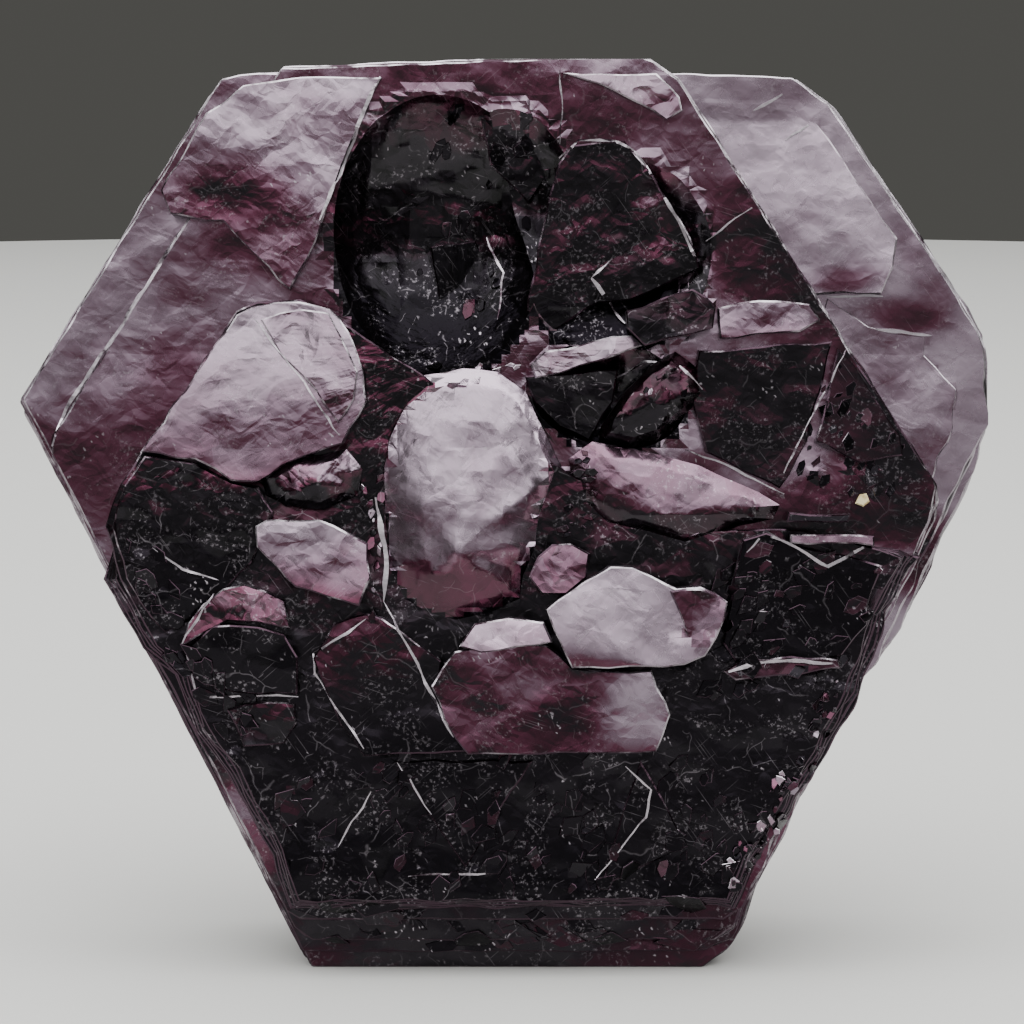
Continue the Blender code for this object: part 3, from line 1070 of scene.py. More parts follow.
@dataclass
class Booklet:
    """A six-sided stack of sheets, each cleaved from a block along its sides."""

    name: str
    middle: tuple[float, float]
    sides: dict[str, Side]
    layers: tuple[Layer, ...]
    waver: float = 0.08
    drift: float = 1.6
    play: float = 0.25
    overlap: float = 0.05
    bevel: float = 0.042
    block: float = 44.0
    foot_play: float = 0.003

    def cleave(self, number: int, layer: Layer, front: float, back: float) -> bpy.types.Object:
        """Cuts one sheet from a block.

        Args:
            number: Its place in the booklet.
            layer: The layer that it belongs to.
            front: Its front depth in millimetres.
            back: Its back depth.

        Returns:
            The closed sheet.
        """
        Bench.clear()
        middle = SPACE.point(self.middle[0], (front + back) / 2.0, self.middle[1])
        size = (self.block * MM, (back - front) * MM, self.block * MM)
        turned = (-SPACE.lean, 0.0, 0.0)
        bpy.ops.mesh.primitive_cube_add(size=1.0, location=middle, rotation=turned, scale=size)
        piece = Bench.named(f"{self.name}_{number}")
        bpy.ops.object.transform_apply(location=True, rotation=True, scale=True)
        bpy.ops.object.mode_set(mode="EDIT")
        for place, (side, shape) in enumerate(self.sides.items()):
            angle = math.radians(shape.angle)
            out = SPACE.right * math.cos(angle) + SPACE.up * math.sin(angle)
            drift = noise.noise(Vector((place * 3.7, number * 0.83, 1.7))) * self.drift
            reach = shape.reach - layer.inset_of(side) - self.waver * (1.0 + drift)
            Bench.cut(SPACE.point(self.middle[0], front, self.middle[1]) + out * (reach * MM), out)
        floor = self.foot_play * (number % 3)
        Bench.cut(Vector((0.0, 0.0, floor * MM)), Vector((0.0, 0.0, -1.0)))
        bpy.ops.mesh.select_all(action="SELECT")
        Bench.bevel(self.bevel)
        bpy.ops.object.mode_set(mode="OBJECT")
        return piece

    def build(self) -> list[bpy.types.Object]:
        """Cuts every sheet, front to back.

        Returns:
            The sheets, each overlapping the next a little.
        """
        sheets = []
        end = self.layers[-1].back
        for layer in self.layers:
            count = max(1, round((layer.back - layer.front) / layer.sheet))
            thick = (layer.back - layer.front) / count
            for step in range(count):
                number = len(sheets)
                stray = thick * self.play * noise.noise(Vector((number * 1.3, self.middle[0], 4.2)))
                front = layer.front + step * thick + (stray if step else 0.0)
                back = min(layer.front + (step + 1) * thick + self.overlap, end)
                sheets.append(self.cleave(number, layer, front, back))
        LOG.info("%s: %d sheets", self.name, len(sheets))
        return sheets


@dataclass
class FlakeField:
    """The flakes, plates and shards on the broad face."""

    flakes: tuple[Flake, ...]

    def build(self) -> list[bpy.types.Object]:
        """Makes each flake as a closed solid.

        Returns:
            One object a flake.
        """
        made = [self.cut_out(flake) for flake in self.flakes]
        LOG.info("flakes: %d", len(made))
        return made

    @staticmethod
    def cut_out(flake: Flake) -> bpy.types.Object:
        """Extrudes one flake from its ragged outline and rubs its edges down.

        Args:
            flake: Its outline, depths and tilt.

        Returns:
            The closed flake.
        """
        corners = [SPACE.point(x, flake.depth_at(x, height), height) for x, height in flake.ragged()]
        piece = Bench.plate(flake.name, corners)
        bpy.ops.object.mode_set(mode="EDIT")
        Bench.thicken(flake.back - flake.front)
        Bench.choose_front(piece)
        Bench.bevel(flake.bevel)
        bpy.ops.object.mode_set(mode="OBJECT")
        if flake.slot is not Slot.CLEAVAGE:
            Bench.paint(piece, flake.slot)
        return piece


@dataclass
class SwellingField:
    """The crumpled lump, the wave, the glassy shard and the crushed lumps."""

    swellings: tuple[Swelling, ...]
    root: float = 4.4

    def build(self) -> list[bpy.types.Object]:
        """Makes each swelling as a closed solid.

        Returns:
            One object a swelling.
        """
        made = [self.raise_up(swelling) for swelling in self.swellings]
        LOG.info("swellings: %d", len(made))
        return made

    def raise_up(self, swelling: Swelling) -> bpy.types.Object:
        """Extrudes one swelling ring by ring towards its peak.

        Args:
            swelling: Its outline, peak and rings.

        Returns:
            The closed mound.
        """
        corners = [SPACE.point(x, self.root, height) for x, height in swelling.outline]
        piece = Bench.plate(swelling.name, corners)
        bpy.ops.object.mode_set(mode="EDIT")
        bpy.ops.mesh.select_all(action="SELECT")
        depth = self.root
        share = 1.0
        for ring_share, lift in swelling.rings:
            run = SPACE.inwards * ((swelling.front - lift - depth) * MM)
            bpy.ops.mesh.extrude_region_move(TRANSFORM_OT_translate={"value": run})
            depth = swelling.front - lift
            if ring_share < share:
                ratio = ring_share / share
                peak = SPACE.point(swelling.peak[0], depth, swelling.peak[1])
                bpy.ops.transform.resize(value=(ratio, ratio, ratio), center_override=peak)
                share = ring_share
        Bench.face_outwards()
        bpy.ops.object.mode_set(mode="OBJECT")
        Bench.settle(piece)
        return piece


@dataclass
class BowlField:
    """The smooth hollows of the broad face, as cutters."""

    bowls: tuple[Bowl, ...]
    segments: int = 56
    rings: int = 36

    def build(self) -> list[bpy.types.Object]:
        """Makes each hollow's cutter.

        Returns:
            One ellipsoid a bowl.
        """
        made = []
        for bowl in self.bowls:
            Bench.clear()
            bpy.ops.mesh.primitive_uv_sphere_add(
                segments=self.segments,
                ring_count=self.rings,
                radius=MM,
                location=SPACE.point(*bowl.middle),
                rotation=(-SPACE.lean, math.radians(-bowl.tilt), 0.0),
                scale=bowl.reach,
            )
            made.append(Bench.named(bowl.name))
            bpy.ops.object.transform_apply(location=True, rotation=True, scale=True)
            Bench.settle(made[-1])
        LOG.info("bowls: %d", len(made))
        return made


@dataclass
class Litter:
    """The torn ridges and the small broken scales, which are laid on what the face already has."""

    torn: tuple[Torn, ...]
    beds: tuple[ScaleBed, ...]
    seed: int = 11
    root: float = 0.3
    stride: float = 0.3
    stray: float = 0.05
    wildness: float = 0.9
    tip: float = 0.35
    widening: float = 0.4
    tries: int = 12
    spread: float = 28.0
    corner_play: float = 0.28
    corner_reach: tuple[float, float] = (0.75, 1.15)
    scale_crumple: float = 0.35
    scale_bevel: float = 0.016
    scale_run: float = 9.0

    def ridges(self, piece: bpy.types.Object) -> list[bpy.types.Object]:
        """Raises each torn edge along the surface that carries it.

        Args:
            piece: The crystal so far.

        Returns:
            One thin closed ridge a torn edge.
        """
        made = [self._ridge(piece, torn) for torn in self.torn]
        LOG.info("torn edges: %d", len(made))
        return made

    def _ridge(self, piece: bpy.types.Object, torn: Torn) -> bpy.types.Object:
        """Lays a narrow strip along a path and extrudes it into the surface.

        Args:
            piece: The crystal so far.
            torn: The torn edge.

        Returns:
            The closed ridge.
        """
        route = self._route(torn.path)
        Bench.clear()
        bpy.ops.mesh.primitive_grid_add(x_subdivisions=len(route) - 1, y_subdivisions=1, size=MM)
        strip = Bench.named(torn.name)
        depth = 0.0
        for number, (x, height, across_x, across_z) in enumerate(route):
            felt = Bench.surface_at(piece, x, height)
            depth = felt[0] if felt else depth
            wild = 1.0 + self.wildness * noise.noise(Vector((x * 2.7, 4.4, height * 2.7)))
            from_end = min(number, len(route) - 1 - number)
            taper = min(1.0, self.tip + from_end * self.widening)
            half = 0.5 * torn.width * wild * taper
            rise = torn.lift * wild
            for side, vert in ((-half, number), (half, number + len(route))):
                place = SPACE.point(x + across_x * side, depth - rise, height + across_z * side)
                strip.data.vertices[vert].co = place
        bpy.ops.object.mode_set(mode="EDIT")
        bpy.ops.mesh.select_all(action="SELECT")
        bpy.ops.mesh.quads_convert_to_tris()
        Bench.thicken(self.root)
        bpy.ops.object.mode_set(mode="OBJECT")
        # The ridge is in the finish of painted edge highlights, brighter for its own tone.
        Bench.paint(strip, Slot.EDGE_GLINT)
        Bench.keep(strip, "own_tone", np.full(len(strip.data.vertices), torn.tone.value), "POINT")
        return strip

    def _route(self, path: Outline) -> list[tuple[float, float, float, float]]:
        """A path in short strides, each place with the direction across it.

        Args:
            path: The path's corners.

        Returns:
            Rows of the place, right and up, and the direction, right and up.
        """
        route = []
        for (ax, az), (bx, bz) in zip(path, path[1:]):
            length = math.hypot(bx - ax, bz - az)
            across = (-(bz - az) / length, (bx - ax) / length)
            strides = max(1, round(length / self.stride))
            last = 1 if (bx, bz) == path[-1] else 0
            for step in range(strides + last):
                x = ax + (bx - ax) * step / strides
                z = az + (bz - az) * step / strides
                stray = self.stray * noise.noise(Vector((x * 2.3, 8.8, z * 2.3)))
                route.append((x + across[0] * stray, z + across[1] * stray, *across))
        return route

    def scales(self, piece: bpy.types.Object) -> list[Flake]:
        """Strews each bed with scales that follow the slope of the surface.

        Args:
            piece: The crystal so far.

        Returns:
            The scales, as small flakes.
        """
        draw = random.Random(self.seed)
        strewn = []
        for bed in self.beds:
            xs = [x for x, _ in bed.outline]
            heights = [z for _, z in bed.outline]
            for number in range(bed.count):
                for _ in range(self.tries):
                    x = draw.uniform(min(xs), max(xs))
                    z = draw.uniform(min(heights), max(heights))
                    if inside(bed.outline, np.array([x]), np.array([z]))[0]:
                        break
                scale = self._scale(draw, bed, number, x, z, Bench.surface_at(piece, x, z))
                if scale:
                    strewn.append(scale)
        LOG.info("scales: %d", len(strewn))
        return strewn

    def _scale(
        self, draw: random.Random, bed: ScaleBed, number: int, x: float, z: float,
        felt: tuple[float, float, float] | None,
    ) -> Flake | None:
        """Draws one broken scale.

        Args:
            draw: The source of the random draws.
            bed: The bed that it lies in.
            number: Its number there.
            x: Where, to the right.
            z: Where, along the sheets.
            felt: The depth and slopes of the surface there, if it has them.

        Returns:
            The scale, or None where the surface can't carry it.
        """
        corners = draw.randint(4, 6)
        size = draw.uniform(*bed.size)
        turn = math.radians(bed.lean + draw.uniform(-self.spread, self.spread))
        outline = []
        for corner in range(corners):
            stray = draw.uniform(-self.corner_play, self.corner_play)
            angle = 2.0 * math.pi * (corner + stray) / corners
            reach = 0.5 * size * draw.uniform(*self.corner_reach)
            along = reach * bed.stretch * math.cos(angle)
            across = reach * math.sin(angle)
            outline.append((
                x + along * math.cos(turn) - across * math.sin(turn),
                z + along * math.sin(turn) + across * math.cos(turn),
            ))
        lift = draw.uniform(*bed.lift)
        rise = draw.uniform(-bed.tilt, bed.tilt)
        lean = draw.uniform(-bed.tilt, bed.tilt)
        tone = draw.choice(bed.tones)
        if felt is None:
            return None
        depth, up, right = felt
        return Flake(
            f"{bed.name}_{number}", tuple(outline), depth - lift, depth + self.root,
            math.degrees(math.atan(up)) + rise, math.degrees(math.atan(right)) + lean, tone,
            crumple=self.scale_crumple, bevel=self.scale_bevel, jag=0.0, run=self.scale_run,
        )


@dataclass
class Crystal:
    """The whole crystal: booklets fused, hollowed, covered in flakes, toned with painted reflection and
    shade, and wrinkled.

    A face looks to the front where at most to_front of its normal points inwards, and belongs to a rim where
    less than rim_share of it does. Lengths are in millimetres and angles in degrees.
    """

    body: Booklet
    twin: Booklet
    bowls: BowlField
    flakes: FlakeField
    swellings: SwellingField
    litter: Litter
    shades: tuple[SoftShade, ...]
    face_cell: float = 0.28
    rim_cell: float = 0.7
    cell_start: float = 0.37
    cell_room: float = 0.3
    foot_fade: float = 0.8
    face_depth: float = 6.2
    to_front: float = -0.3
    rim_share: float = 0.5
    twin_corner: tuple[float, float] = (2.0, 4.3)
    bare_crumple: float = 0.12
    twin_crumple: float = 0.05
    back_crumple: float = 0.02
    bowl_crumple: float = 0.5
    bowl_fade: float = 0.52
    bowl_skin: float = 0.03
    bowl_end: float = 6.0
    bare_weight: float = 0.25
    crushed_side: float = 334.4
    crushed_middle: float = 14.0
    crushed_reach: float = 10.6
    crushed_width: float = 0.8
    margin: float = 0.02
    smooth_angle: float = 32.0

    def build(self) -> bpy.types.Object:
        """Makes the crystal: one closed solid, with the closed scales and torn ridges sunk into it.

        Returns:
            The finished piece.
        """
        sheets = self.body.build()
        piece = sheets.pop()
        piece.name = "crystal_surface"
        Bench.combine(piece, sheets + self.twin.build(), "UNION")
        Bench.combine(piece, self.bowls.build(), "DIFFERENCE")
        Bench.combine(piece, self.flakes.build() + self.swellings.build(), "UNION")
        LOG.info("solid: %d faces", len(piece.data.polygons))
        scales = self.litter.scales(piece)
        ridges = self.litter.ridges(piece)
        self._slice(piece, self.rim_cell, -1.0, math.inf)
        self._slice(piece, self.face_cell, 0.3, self.face_depth)
        Bench.gather(piece, [FlakeField.cut_out(scale) for scale in scales] + ridges)
        LOG.info("cells: %d faces", len(piece.data.polygons))
        self._tone(piece, self.flakes.flakes + tuple(scales))
        self._wrinkle(piece)
        Bench.pick(piece)
        bpy.ops.object.shade_smooth_by_angle(angle=math.radians(self.smooth_angle))
        return piece

    def _slice(self, piece: bpy.types.Object, cell: float, towards: float, depth: float) -> None:
        """Cuts faces into cells, so that the surface can wrinkle and carry its tones.

        Args:
            piece: The crystal.
            cell: The cells' width in millimetres.
            towards: The least that a face must look to the front, from -1 to 1.
            depth: The greatest depth of a face's middle.
        """
        centres, normals = self._faces(piece)
        chosen = (-normals[:, 1] > towards) & (centres[:, 1] < depth)
        Bench.pick(piece)
        piece.data.polygons.foreach_set("select", chosen)
        bpy.ops.object.mode_set(mode="EDIT")
        bpy.ops.mesh.select_mode(type="FACE")
        bpy.ops.mesh.hide(unselected=True)
        low = SPACE.measured(np.array([CAD_BOX[0]]))[0]
        high = SPACE.measured(np.array([CAD_BOX[1]]))[0]
        for axis, direction in ((0, SPACE.right), (2, SPACE.up)):
            start = min(low[axis], high[axis]) - self.cell_room + cell * self.cell_start
            count = int((abs(high[axis] - low[axis]) + 2.0 * self.cell_room) / cell)
            for step in range(count):
                offset = [0.0, 0.0, 0.0]
                offset[axis] = start + step * cell
                bpy.ops.mesh.select_all(action="SELECT")
                place = SPACE.point(*offset)
                bpy.ops.mesh.bisect(plane_co=place, plane_no=direction, threshold=Bench.ON_PLANE)
        bpy.ops.mesh.reveal(select=False)
        bpy.ops.object.mode_set(mode="OBJECT")

    @staticmethod
    def _faces(piece: bpy.types.Object) -> tuple[np.ndarray, np.ndarray]:
        """Each face's middle in stack coordinates, and its normal as shares of right, inwards and up."""
        centres = Bench.read(piece.data.polygons, "center", 3)
        normals = Bench.read(piece.data.polygons, "normal", 3)
        return SPACE.measured(centres), normals @ SPACE.axes.T

    @staticmethod
    def _corners(piece: bpy.types.Object) -> tuple[np.ndarray, np.ndarray, np.ndarray]:
        """Each face corner's place in stack coordinates, and the numbers of its face and vertex.

        Args:
            piece: The crystal.

        Returns:
            The places, the faces and the vertices.
        """
        places = SPACE.measured(Bench.read(piece.data.vertices, "co", 3))
        verts = Bench.read(piece.data.loops, "vertex_index", kind=int)
        sizes = Bench.read(piece.data.polygons, "loop_total", kind=int)
        faces = np.repeat(np.arange(len(sizes)), sizes)
        return places[verts], faces, verts

    def _tone(self, piece: bpy.types.Object, flakes: tuple[Flake, ...]) -> None:
        """Writes each face corner's painted reflection tone and rim, and each vertex's crumple, on the mesh.

        Args:
            piece: The crystal, sliced but not yet wrinkled.
            flakes: Every flake and scale, from the deepest to the foremost.
        """
        centres, normals = self._faces(piece)
        corners, faces, verts = self._corners(piece)
        tone = self._bare_tone(corners, centres[faces], normals[faces])
        crumple = np.where(normals[:, 1] > self.to_front, self.back_crumple, self.bare_crumple)
        crumple = np.where(self._on_twin(centres, normals), self.twin_crumple, crumple)[faces]
        rim = (np.abs(normals[faces, 1]) < self.rim_share).astype(float)
        # Painted shade: the hollows are painted dark, darker towards their bottoms.
        for bowl in self.bowls.bowls:
            skin = self._in_bowl(bowl, centres)[faces]
            high = (corners[skin, 2] - bowl.middle[2]) / bowl.reach[2]
            tone[skin] = bowl.tone.value + self.bowl_fade * high
            crumple[skin] = self.bowl_crumple
            rim[skin] = 0.0
        # Painted shade: below low_height a swelling takes its low tone, where it turns down away from the
        # light.
        for swelling in self.swellings.swellings:
            mine = self._on_swelling(swelling, centres)[faces]
            rim[mine] = 0.0
            border = swelling.low_height + 0.35 * np.sin(corners[mine, 0] * 4.1)
            low = corners[mine, 2] < border
            tone[mine] = np.where(low, swelling.low_tone.value, swelling.tone.value)
            crumple[mine] = swelling.crumple
        # Painted reflection: each flake in its tone, painted darker by its fade towards the bottom, then with
        # its own soft shades.
        for flake in flakes:
            mine = self._on_flake(flake, centres, normals)
            if mine.any():
                picked = mine[faces]
                heights = [z for _, z in flake.outline]
                down = (max(heights) - corners[picked, 2]) / (max(heights) - min(heights))
                tone[picked] = np.clip(flake.tone.value - flake.fade * down, 0.0, 1.0)
                crumple[picked] = flake.crumple
                for shade in self.shades:
                    if shade.on == flake.name:
                        near = shade.nearness(corners[picked, 0], corners[picked, 2])
                        tone[picked] += (shade.tone.value - tone[picked]) * near
        # Torn ridges keep their own tone, which sets how bright their painted edge highlight is.
        own = Bench.read(piece.data.attributes["own_tone"].data, "value")[verts]
        tone = np.where(own > 0.0, own, tone)
        Bench.keep(piece, "tone", tone, "CORNER")
        Bench.keep(piece, "rim", rim, "CORNER")
        on_verts = np.zeros(len(piece.data.vertices))
        np.maximum.at(on_verts, verts, crumple)
        Bench.keep(piece, "crumple", on_verts, "POINT")

    def _bare_tone(self, corners: np.ndarray, centres: np.ndarray, normals: np.ndarray) -> np.ndarray:
        """The bare sheets' painted reflection: the soft shades on the front and the twin, and one plain tone
        behind.

        Args:
            corners: The face corners' places.
            centres: Their faces' middles.
            normals: Their faces' normals.

        Returns:
            One tone a corner.
        """
        twin = self._on_twin(centres, normals)
        front = (normals[:, 1] < self.to_front) & ~twin
        tone = np.full(len(corners), 0.5 * (Tone.MAUVE.value + Tone.MAROON.value))
        # The twin's ground is painted bright, as its reflection of the light.
        for name, where, ground in (("front", front, Tone.MAUVE), ("twin", twin, Tone.BRIGHT)):
            weight = np.full(len(corners), self.bare_weight)
            total = weight * ground.value
            for shade in self.shades:
                if shade.on == name:
                    near = shade.nearness(corners[:, 0], corners[:, 2])
                    weight = weight + near
                    total = total + near * shade.tone.value
            tone[where] = (total / weight)[where]
        return tone

    def _on_twin(self, centres: np.ndarray, normals: np.ndarray) -> np.ndarray:
        """Which faces belong to the front of the second booklet."""
        right, deep = self.twin_corner
        return (normals[:, 1] < self.to_front) & (centres[:, 1] > deep) & (centres[:, 0] > right)

    def _in_bowl(self, bowl: Bowl, centres: np.ndarray) -> np.ndarray:
        """Which faces lie on the skin of a hollow.

        Args:
            bowl: The hollow.
            centres: The faces' middles.

        Returns:
            True for each face on it.
        """
        tilt = math.radians(bowl.tilt)
        x = centres[:, 0] - bowl.middle[0]
        z = centres[:, 2] - bowl.middle[2]
        across = (x * math.cos(tilt) + z * math.sin(tilt)) / bowl.reach[0]
        along = (z * math.cos(tilt) - x * math.sin(tilt)) / bowl.reach[2]
        deep = (centres[:, 1] - bowl.middle[1]) / bowl.reach[1]
        radius = np.sqrt(across**2 + along**2 + deep**2)
        return (np.abs(radius - 1.0) < self.bowl_skin) & (centres[:, 1] < self.bowl_end)

    @staticmethod
    def _on_swelling(swelling: Swelling, centres: np.ndarray) -> np.ndarray:
        """Which faces lie on a swelling."""
        within = inside(swelling.outline, centres[:, 0], centres[:, 2])
        return within & (centres[:, 1] < swelling.front + 0.02)

    @staticmethod
    def _on_flake(flake: Flake, centres: np.ndarray, normals: np.ndarray) -> np.ndarray:
        """Which faces lie on a flake's front.

        Args:
            flake: The flake or scale.
            centres: The faces' middles.
            normals: Their normals.

        Returns:
            True for each face on it.
        """
        xs = [x for x, _ in flake.outline]
        heights = [z for _, z in flake.outline]
        x, depth, height = centres.T
        near = (x > min(xs) - 0.1) & (x < max(xs) + 0.1) & (height > min(heights) - 0.1)
        near &= (height < max(heights) + 0.1) & (normals[:, 1] < -0.5) & (depth < flake.back)
        picked = np.nonzero(near)[0]
        level = np.abs(depth[picked] - flake.depth_at(x[picked], height[picked])) < 1.3 * flake.bevel
        mine = np.zeros(len(centres), bool)
        mine[picked] = level & inside(flake.ragged(), x[picked], height[picked])
        return mine

    def _wrinkle(self, piece: bpy.types.Object) -> None:
        """Moves the surface by smooth and creased fields, within the solid's box and not at the foot.

        Args:
            piece: The sliced and toned crystal.
        """
        places = Bench.read(piece.data.vertices, "co", 3)
        crumple = Bench.read(piece.data.attributes["crumple"].data, "value")
        measured = SPACE.measured(places)
        moves = np.array([self._move(*place, crushed) for place, crushed in zip(measured, crumple)])
        moves *= np.clip(places[:, 2] / (self.foot_fade * MM), 0.0, 1.0)[:, None]
        places = places + moves @ SPACE.axes * MM
        margin = self.margin * MM
        low = np.array(CAD_BOX[0]) + np.array((margin, margin, 0.0))
        high = np.array(CAD_BOX[1]) - margin
        piece.data.vertices.foreach_set("co", np.clip(places, low, high).ravel())
        piece.data.update()

    def _move(self, x: float, depth: float, height: float, crushed: float) -> tuple[float, float, float]:
        """How far a point of the surface is moved.

        Args:
            x: Where, to the right.
            depth: Where, behind the foremost sheet.
            height: Where, along the sheets.
            crushed: The crumple there.

        Returns:
            The moves to the right, inwards and up, in millimetres.
        """
        broad = noise.noise(Vector((x * 0.16, 3.1, height * 0.16))) * 0.22
        middle = noise.noise(Vector((x * 0.5, depth * 0.2, height * 0.42 + 9.0)))
        large = Vector((x * 0.8 + 0.4 * broad, 2.0, height * 0.9))
        small = Vector((x * 2.0 + 3.0, 5.0, height * 2.2))
        creased = noise.voronoi(large, distance_metric="CHEBYCHEV")[0][0]
        folded = noise.voronoi(small, distance_metric="MANHATTAN")[0][0]
        facets = (creased - 0.4) * (0.02 + 0.22 * crushed) + (folded - 0.5) * (0.005 + 0.07 * crushed)
        torn = 0.05 + 0.10 * self._crushed_rim(x, height)
        across = noise.noise(Vector((x * 1.1, depth * 2.6, height * 1.1 + 21.0))) * torn
        sway = noise.noise(Vector((x * 1.1 + 31.0, depth * 2.6, height * 1.1))) * torn
        return across, broad + middle * (0.04 + 0.16 * crushed) + facets, sway

    def _crushed_rim(self, x: float, height: float) -> float:
        """1 near the broken lower right rim, and 0 away from it."""
        side = math.radians(self.crushed_side)
        reach = x * math.cos(side) + (height - self.crushed_middle) * math.sin(side)
        return min(1.0, max(0.0, (reach - self.crushed_reach) / self.crushed_width))


@dataclass(frozen=True)
class SoftBox:
    """A studio light: where it hangs around the crystal, its size and its strength."""

    name: str
    azimuth: float
    elevation: float
    distance: float
    size: tuple[float, float]
    power: float

    def hang(self, target: Vector) -> None:
        """Adds the light, aimed at the target.

        Args:
            target: The place that it looks at, in metres.
        """
        azimuth = math.radians(self.azimuth)
        elevation = math.radians(self.elevation)
        away = Vector((
            math.sin(azimuth) * math.cos(elevation),
            -math.cos(azimuth) * math.cos(elevation),
            math.sin(elevation),
        ))
        lamp = bpy.data.lights.new(self.name, "AREA")
        lamp.shape = "RECTANGLE"
        lamp.size, lamp.size_y = self.size
        lamp.energy = self.power
        made = bpy.data.objects.new(self.name, lamp)
        made.location = target + away * self.distance
        made.rotation_euler = (-away).to_track_quat("-Z", "Y").to_euler()
        made.visible_camera = False
        bpy.context.scene.collection.objects.link(made)


@dataclass
class Studio:
    """The floor, the grey all round, the soft lights and the camera.

    The target is in the crystal's own frame, and frame_width in millimetres. Other lengths are in metres.
    """

    boxes: tuple[SoftBox, ...]
    target: tuple[float, float, float] = (0.21, 1.9, 13.9)
    distance: float = 0.110
    elevation: float = 8.0
    frame_width: float = 30.72
    sensor: float = 36.0
    near: float = 0.005
    floor_reach: float = 0.20
    floor_front: float = 0.06
    floor_colour: tuple = (0.62, 0.62, 0.60, 1.0)
    floor_roughness: float = 0.75
    grey: tuple = (0.078, 0.077, 0.071, 1.0)

    def build(self) -> None:
        """Sets up the floor, world, lights and camera."""
        self._lay_floor()
        self._set_world()
        target = SPACE.point(*self.target)
        for box in self.boxes:
            box.hang(target)
        self._set_camera(target)
        LOG.info("studio: %d lights", len(self.boxes))

    def _lay_floor(self) -> None:
        """A plain pale disc, mostly behind the crystal."""
        Bench.clear()
        middle = (0.0, self.floor_reach - self.floor_front, 0.0)
        bpy.ops.mesh.primitive_circle_add(
            vertices=128, radius=self.floor_reach, fill_type="NGON", location=middle
        )
        floor = Bench.named("floor", dressed=False)
        graph = Graph("pale_floor")
        graph.set(Base_Color=self.floor_colour, Roughness=self.floor_roughness)
        floor.data.materials.append(graph.material)

    def _set_world(self) -> None:
        """A plain dark grey all round."""
        world = bpy.data.worlds.new("studio_grey")
        world.use_nodes = True
        background = world.node_tree.nodes["Background"]
        background.inputs["Color"].default_value = self.grey
        background.inputs["Strength"].default_value = 1.0
        bpy.context.scene.world = world

    def _set_camera(self, target: Vector) -> None:
        """The photograph's view: straight on and a little above.

        Args:
            target: The place that it looks at, in metres.
        """
        lens = bpy.data.cameras.new("camera")
        lens.sensor_width = self.sensor
        lens.lens = self.sensor * self.distance / (self.frame_width * MM)
        lens.clip_start = self.near
        camera = bpy.data.objects.new("camera", lens)
        elevation = math.radians(self.elevation)
        away = Vector((0.0, -math.cos(elevation), math.sin(elevation)))
        camera.location = target + away * self.distance
        camera.rotation_euler = (-away).to_track_quat("-Z", "Y").to_euler()
        bpy.context.scene.collection.objects.link(camera)
        bpy.context.scene.camera = camera


BODY = Booklet(
    name="body_sheet",
    middle=(0.0, 14.0),
    sides={
        "right_corner": Side(0.0, 13.1),
        "upper_right": Side(32.5, 11.4),
        "top_right_corner": Side(56.0, 13.65),
        "top": Side(92.0, 13.4),
        "top_left_high": Side(105.0, 14.75),
        "top_left_corner": Side(130.0, 15.5),
        "upper_left": Side(148.0, 14.28),
        "left_corner": Side(180.0, 15.0),
        "lower_left": Side(207.0, 11.8),
        "bottom_left_corner": Side(235.0, 15.0),
        "bottom": Side(270.0, 14.4),
        "bottom_right_corner": Side(305.0, 15.0),
        "lower_right": Side(334.4, 12.05),
    },
    layers=(
        Layer(1.9, 2.4, 0.0, {"upper_left": 1.5, "left_corner": 1.35, "lower_left": 0.3, "bottom": 1.9,
                              "bottom_left_corner": 1.2, "bottom_right_corner": 1.0, "lower_right": 0.35,
                              "right_corner": 0.1, "top": -0.1, "top_left_corner": 0.1}, 0.17),
        Layer(2.4, 2.75, 0.0, {"upper_left": 0.2, "lower_left": 0.3, "bottom": 1.3, "bottom_left_corner": 0.8,
                               "bottom_right_corner": 0.6, "lower_right": 0.3, "top_right_corner": 0.3},
                                   0.17),
        Layer(2.75, 3.0, 0.1, {"upper_left": -0.1, "bottom": 0.75, "bottom_left_corner": 0.3,
                               "bottom_right_corner": 0.3, "lower_right": 0.1, "top_right_corner": 0.2},
                                   0.13),
        Layer(3.0, 4.0, 0.0, {"top": 0.2, "upper_right": 0.15, "bottom": 0.25, "upper_left": 0.2,
                              "lower_left": 0.1, "lower_right": 0.1}, 0.2),
        Layer(4.0, 4.8, 0.05, {"top": 0.05, "lower_left": -0.1, "upper_left": 0.15}, 0.27),
        Layer(4.8, 5.9, 0.2, {"top": 0.2, "lower_left": -0.25, "upper_left": 0.25, "bottom": -0.1}),
        Layer(5.9, 6.8, 0.3, {"top": 0.7, "upper_left": 0.6, "bottom": -0.3, "lower_left": -0.2}),
        Layer(6.8, 7.7, 0.8, {"top": 0.8, "upper_left": 0.9, "bottom": -0.8, "lower_left": -0.4}),
        Layer(7.7, 8.25, 1.5, {"top": 1.4, "upper_left": 1.2, "bottom": -1.5, "lower_left": -0.7}),
        Layer(8.25, 8.8, 2.9, {"top": 2.6, "upper_left": 1.6, "bottom": -2.9, "lower_left": -1.6}),
    ),
)

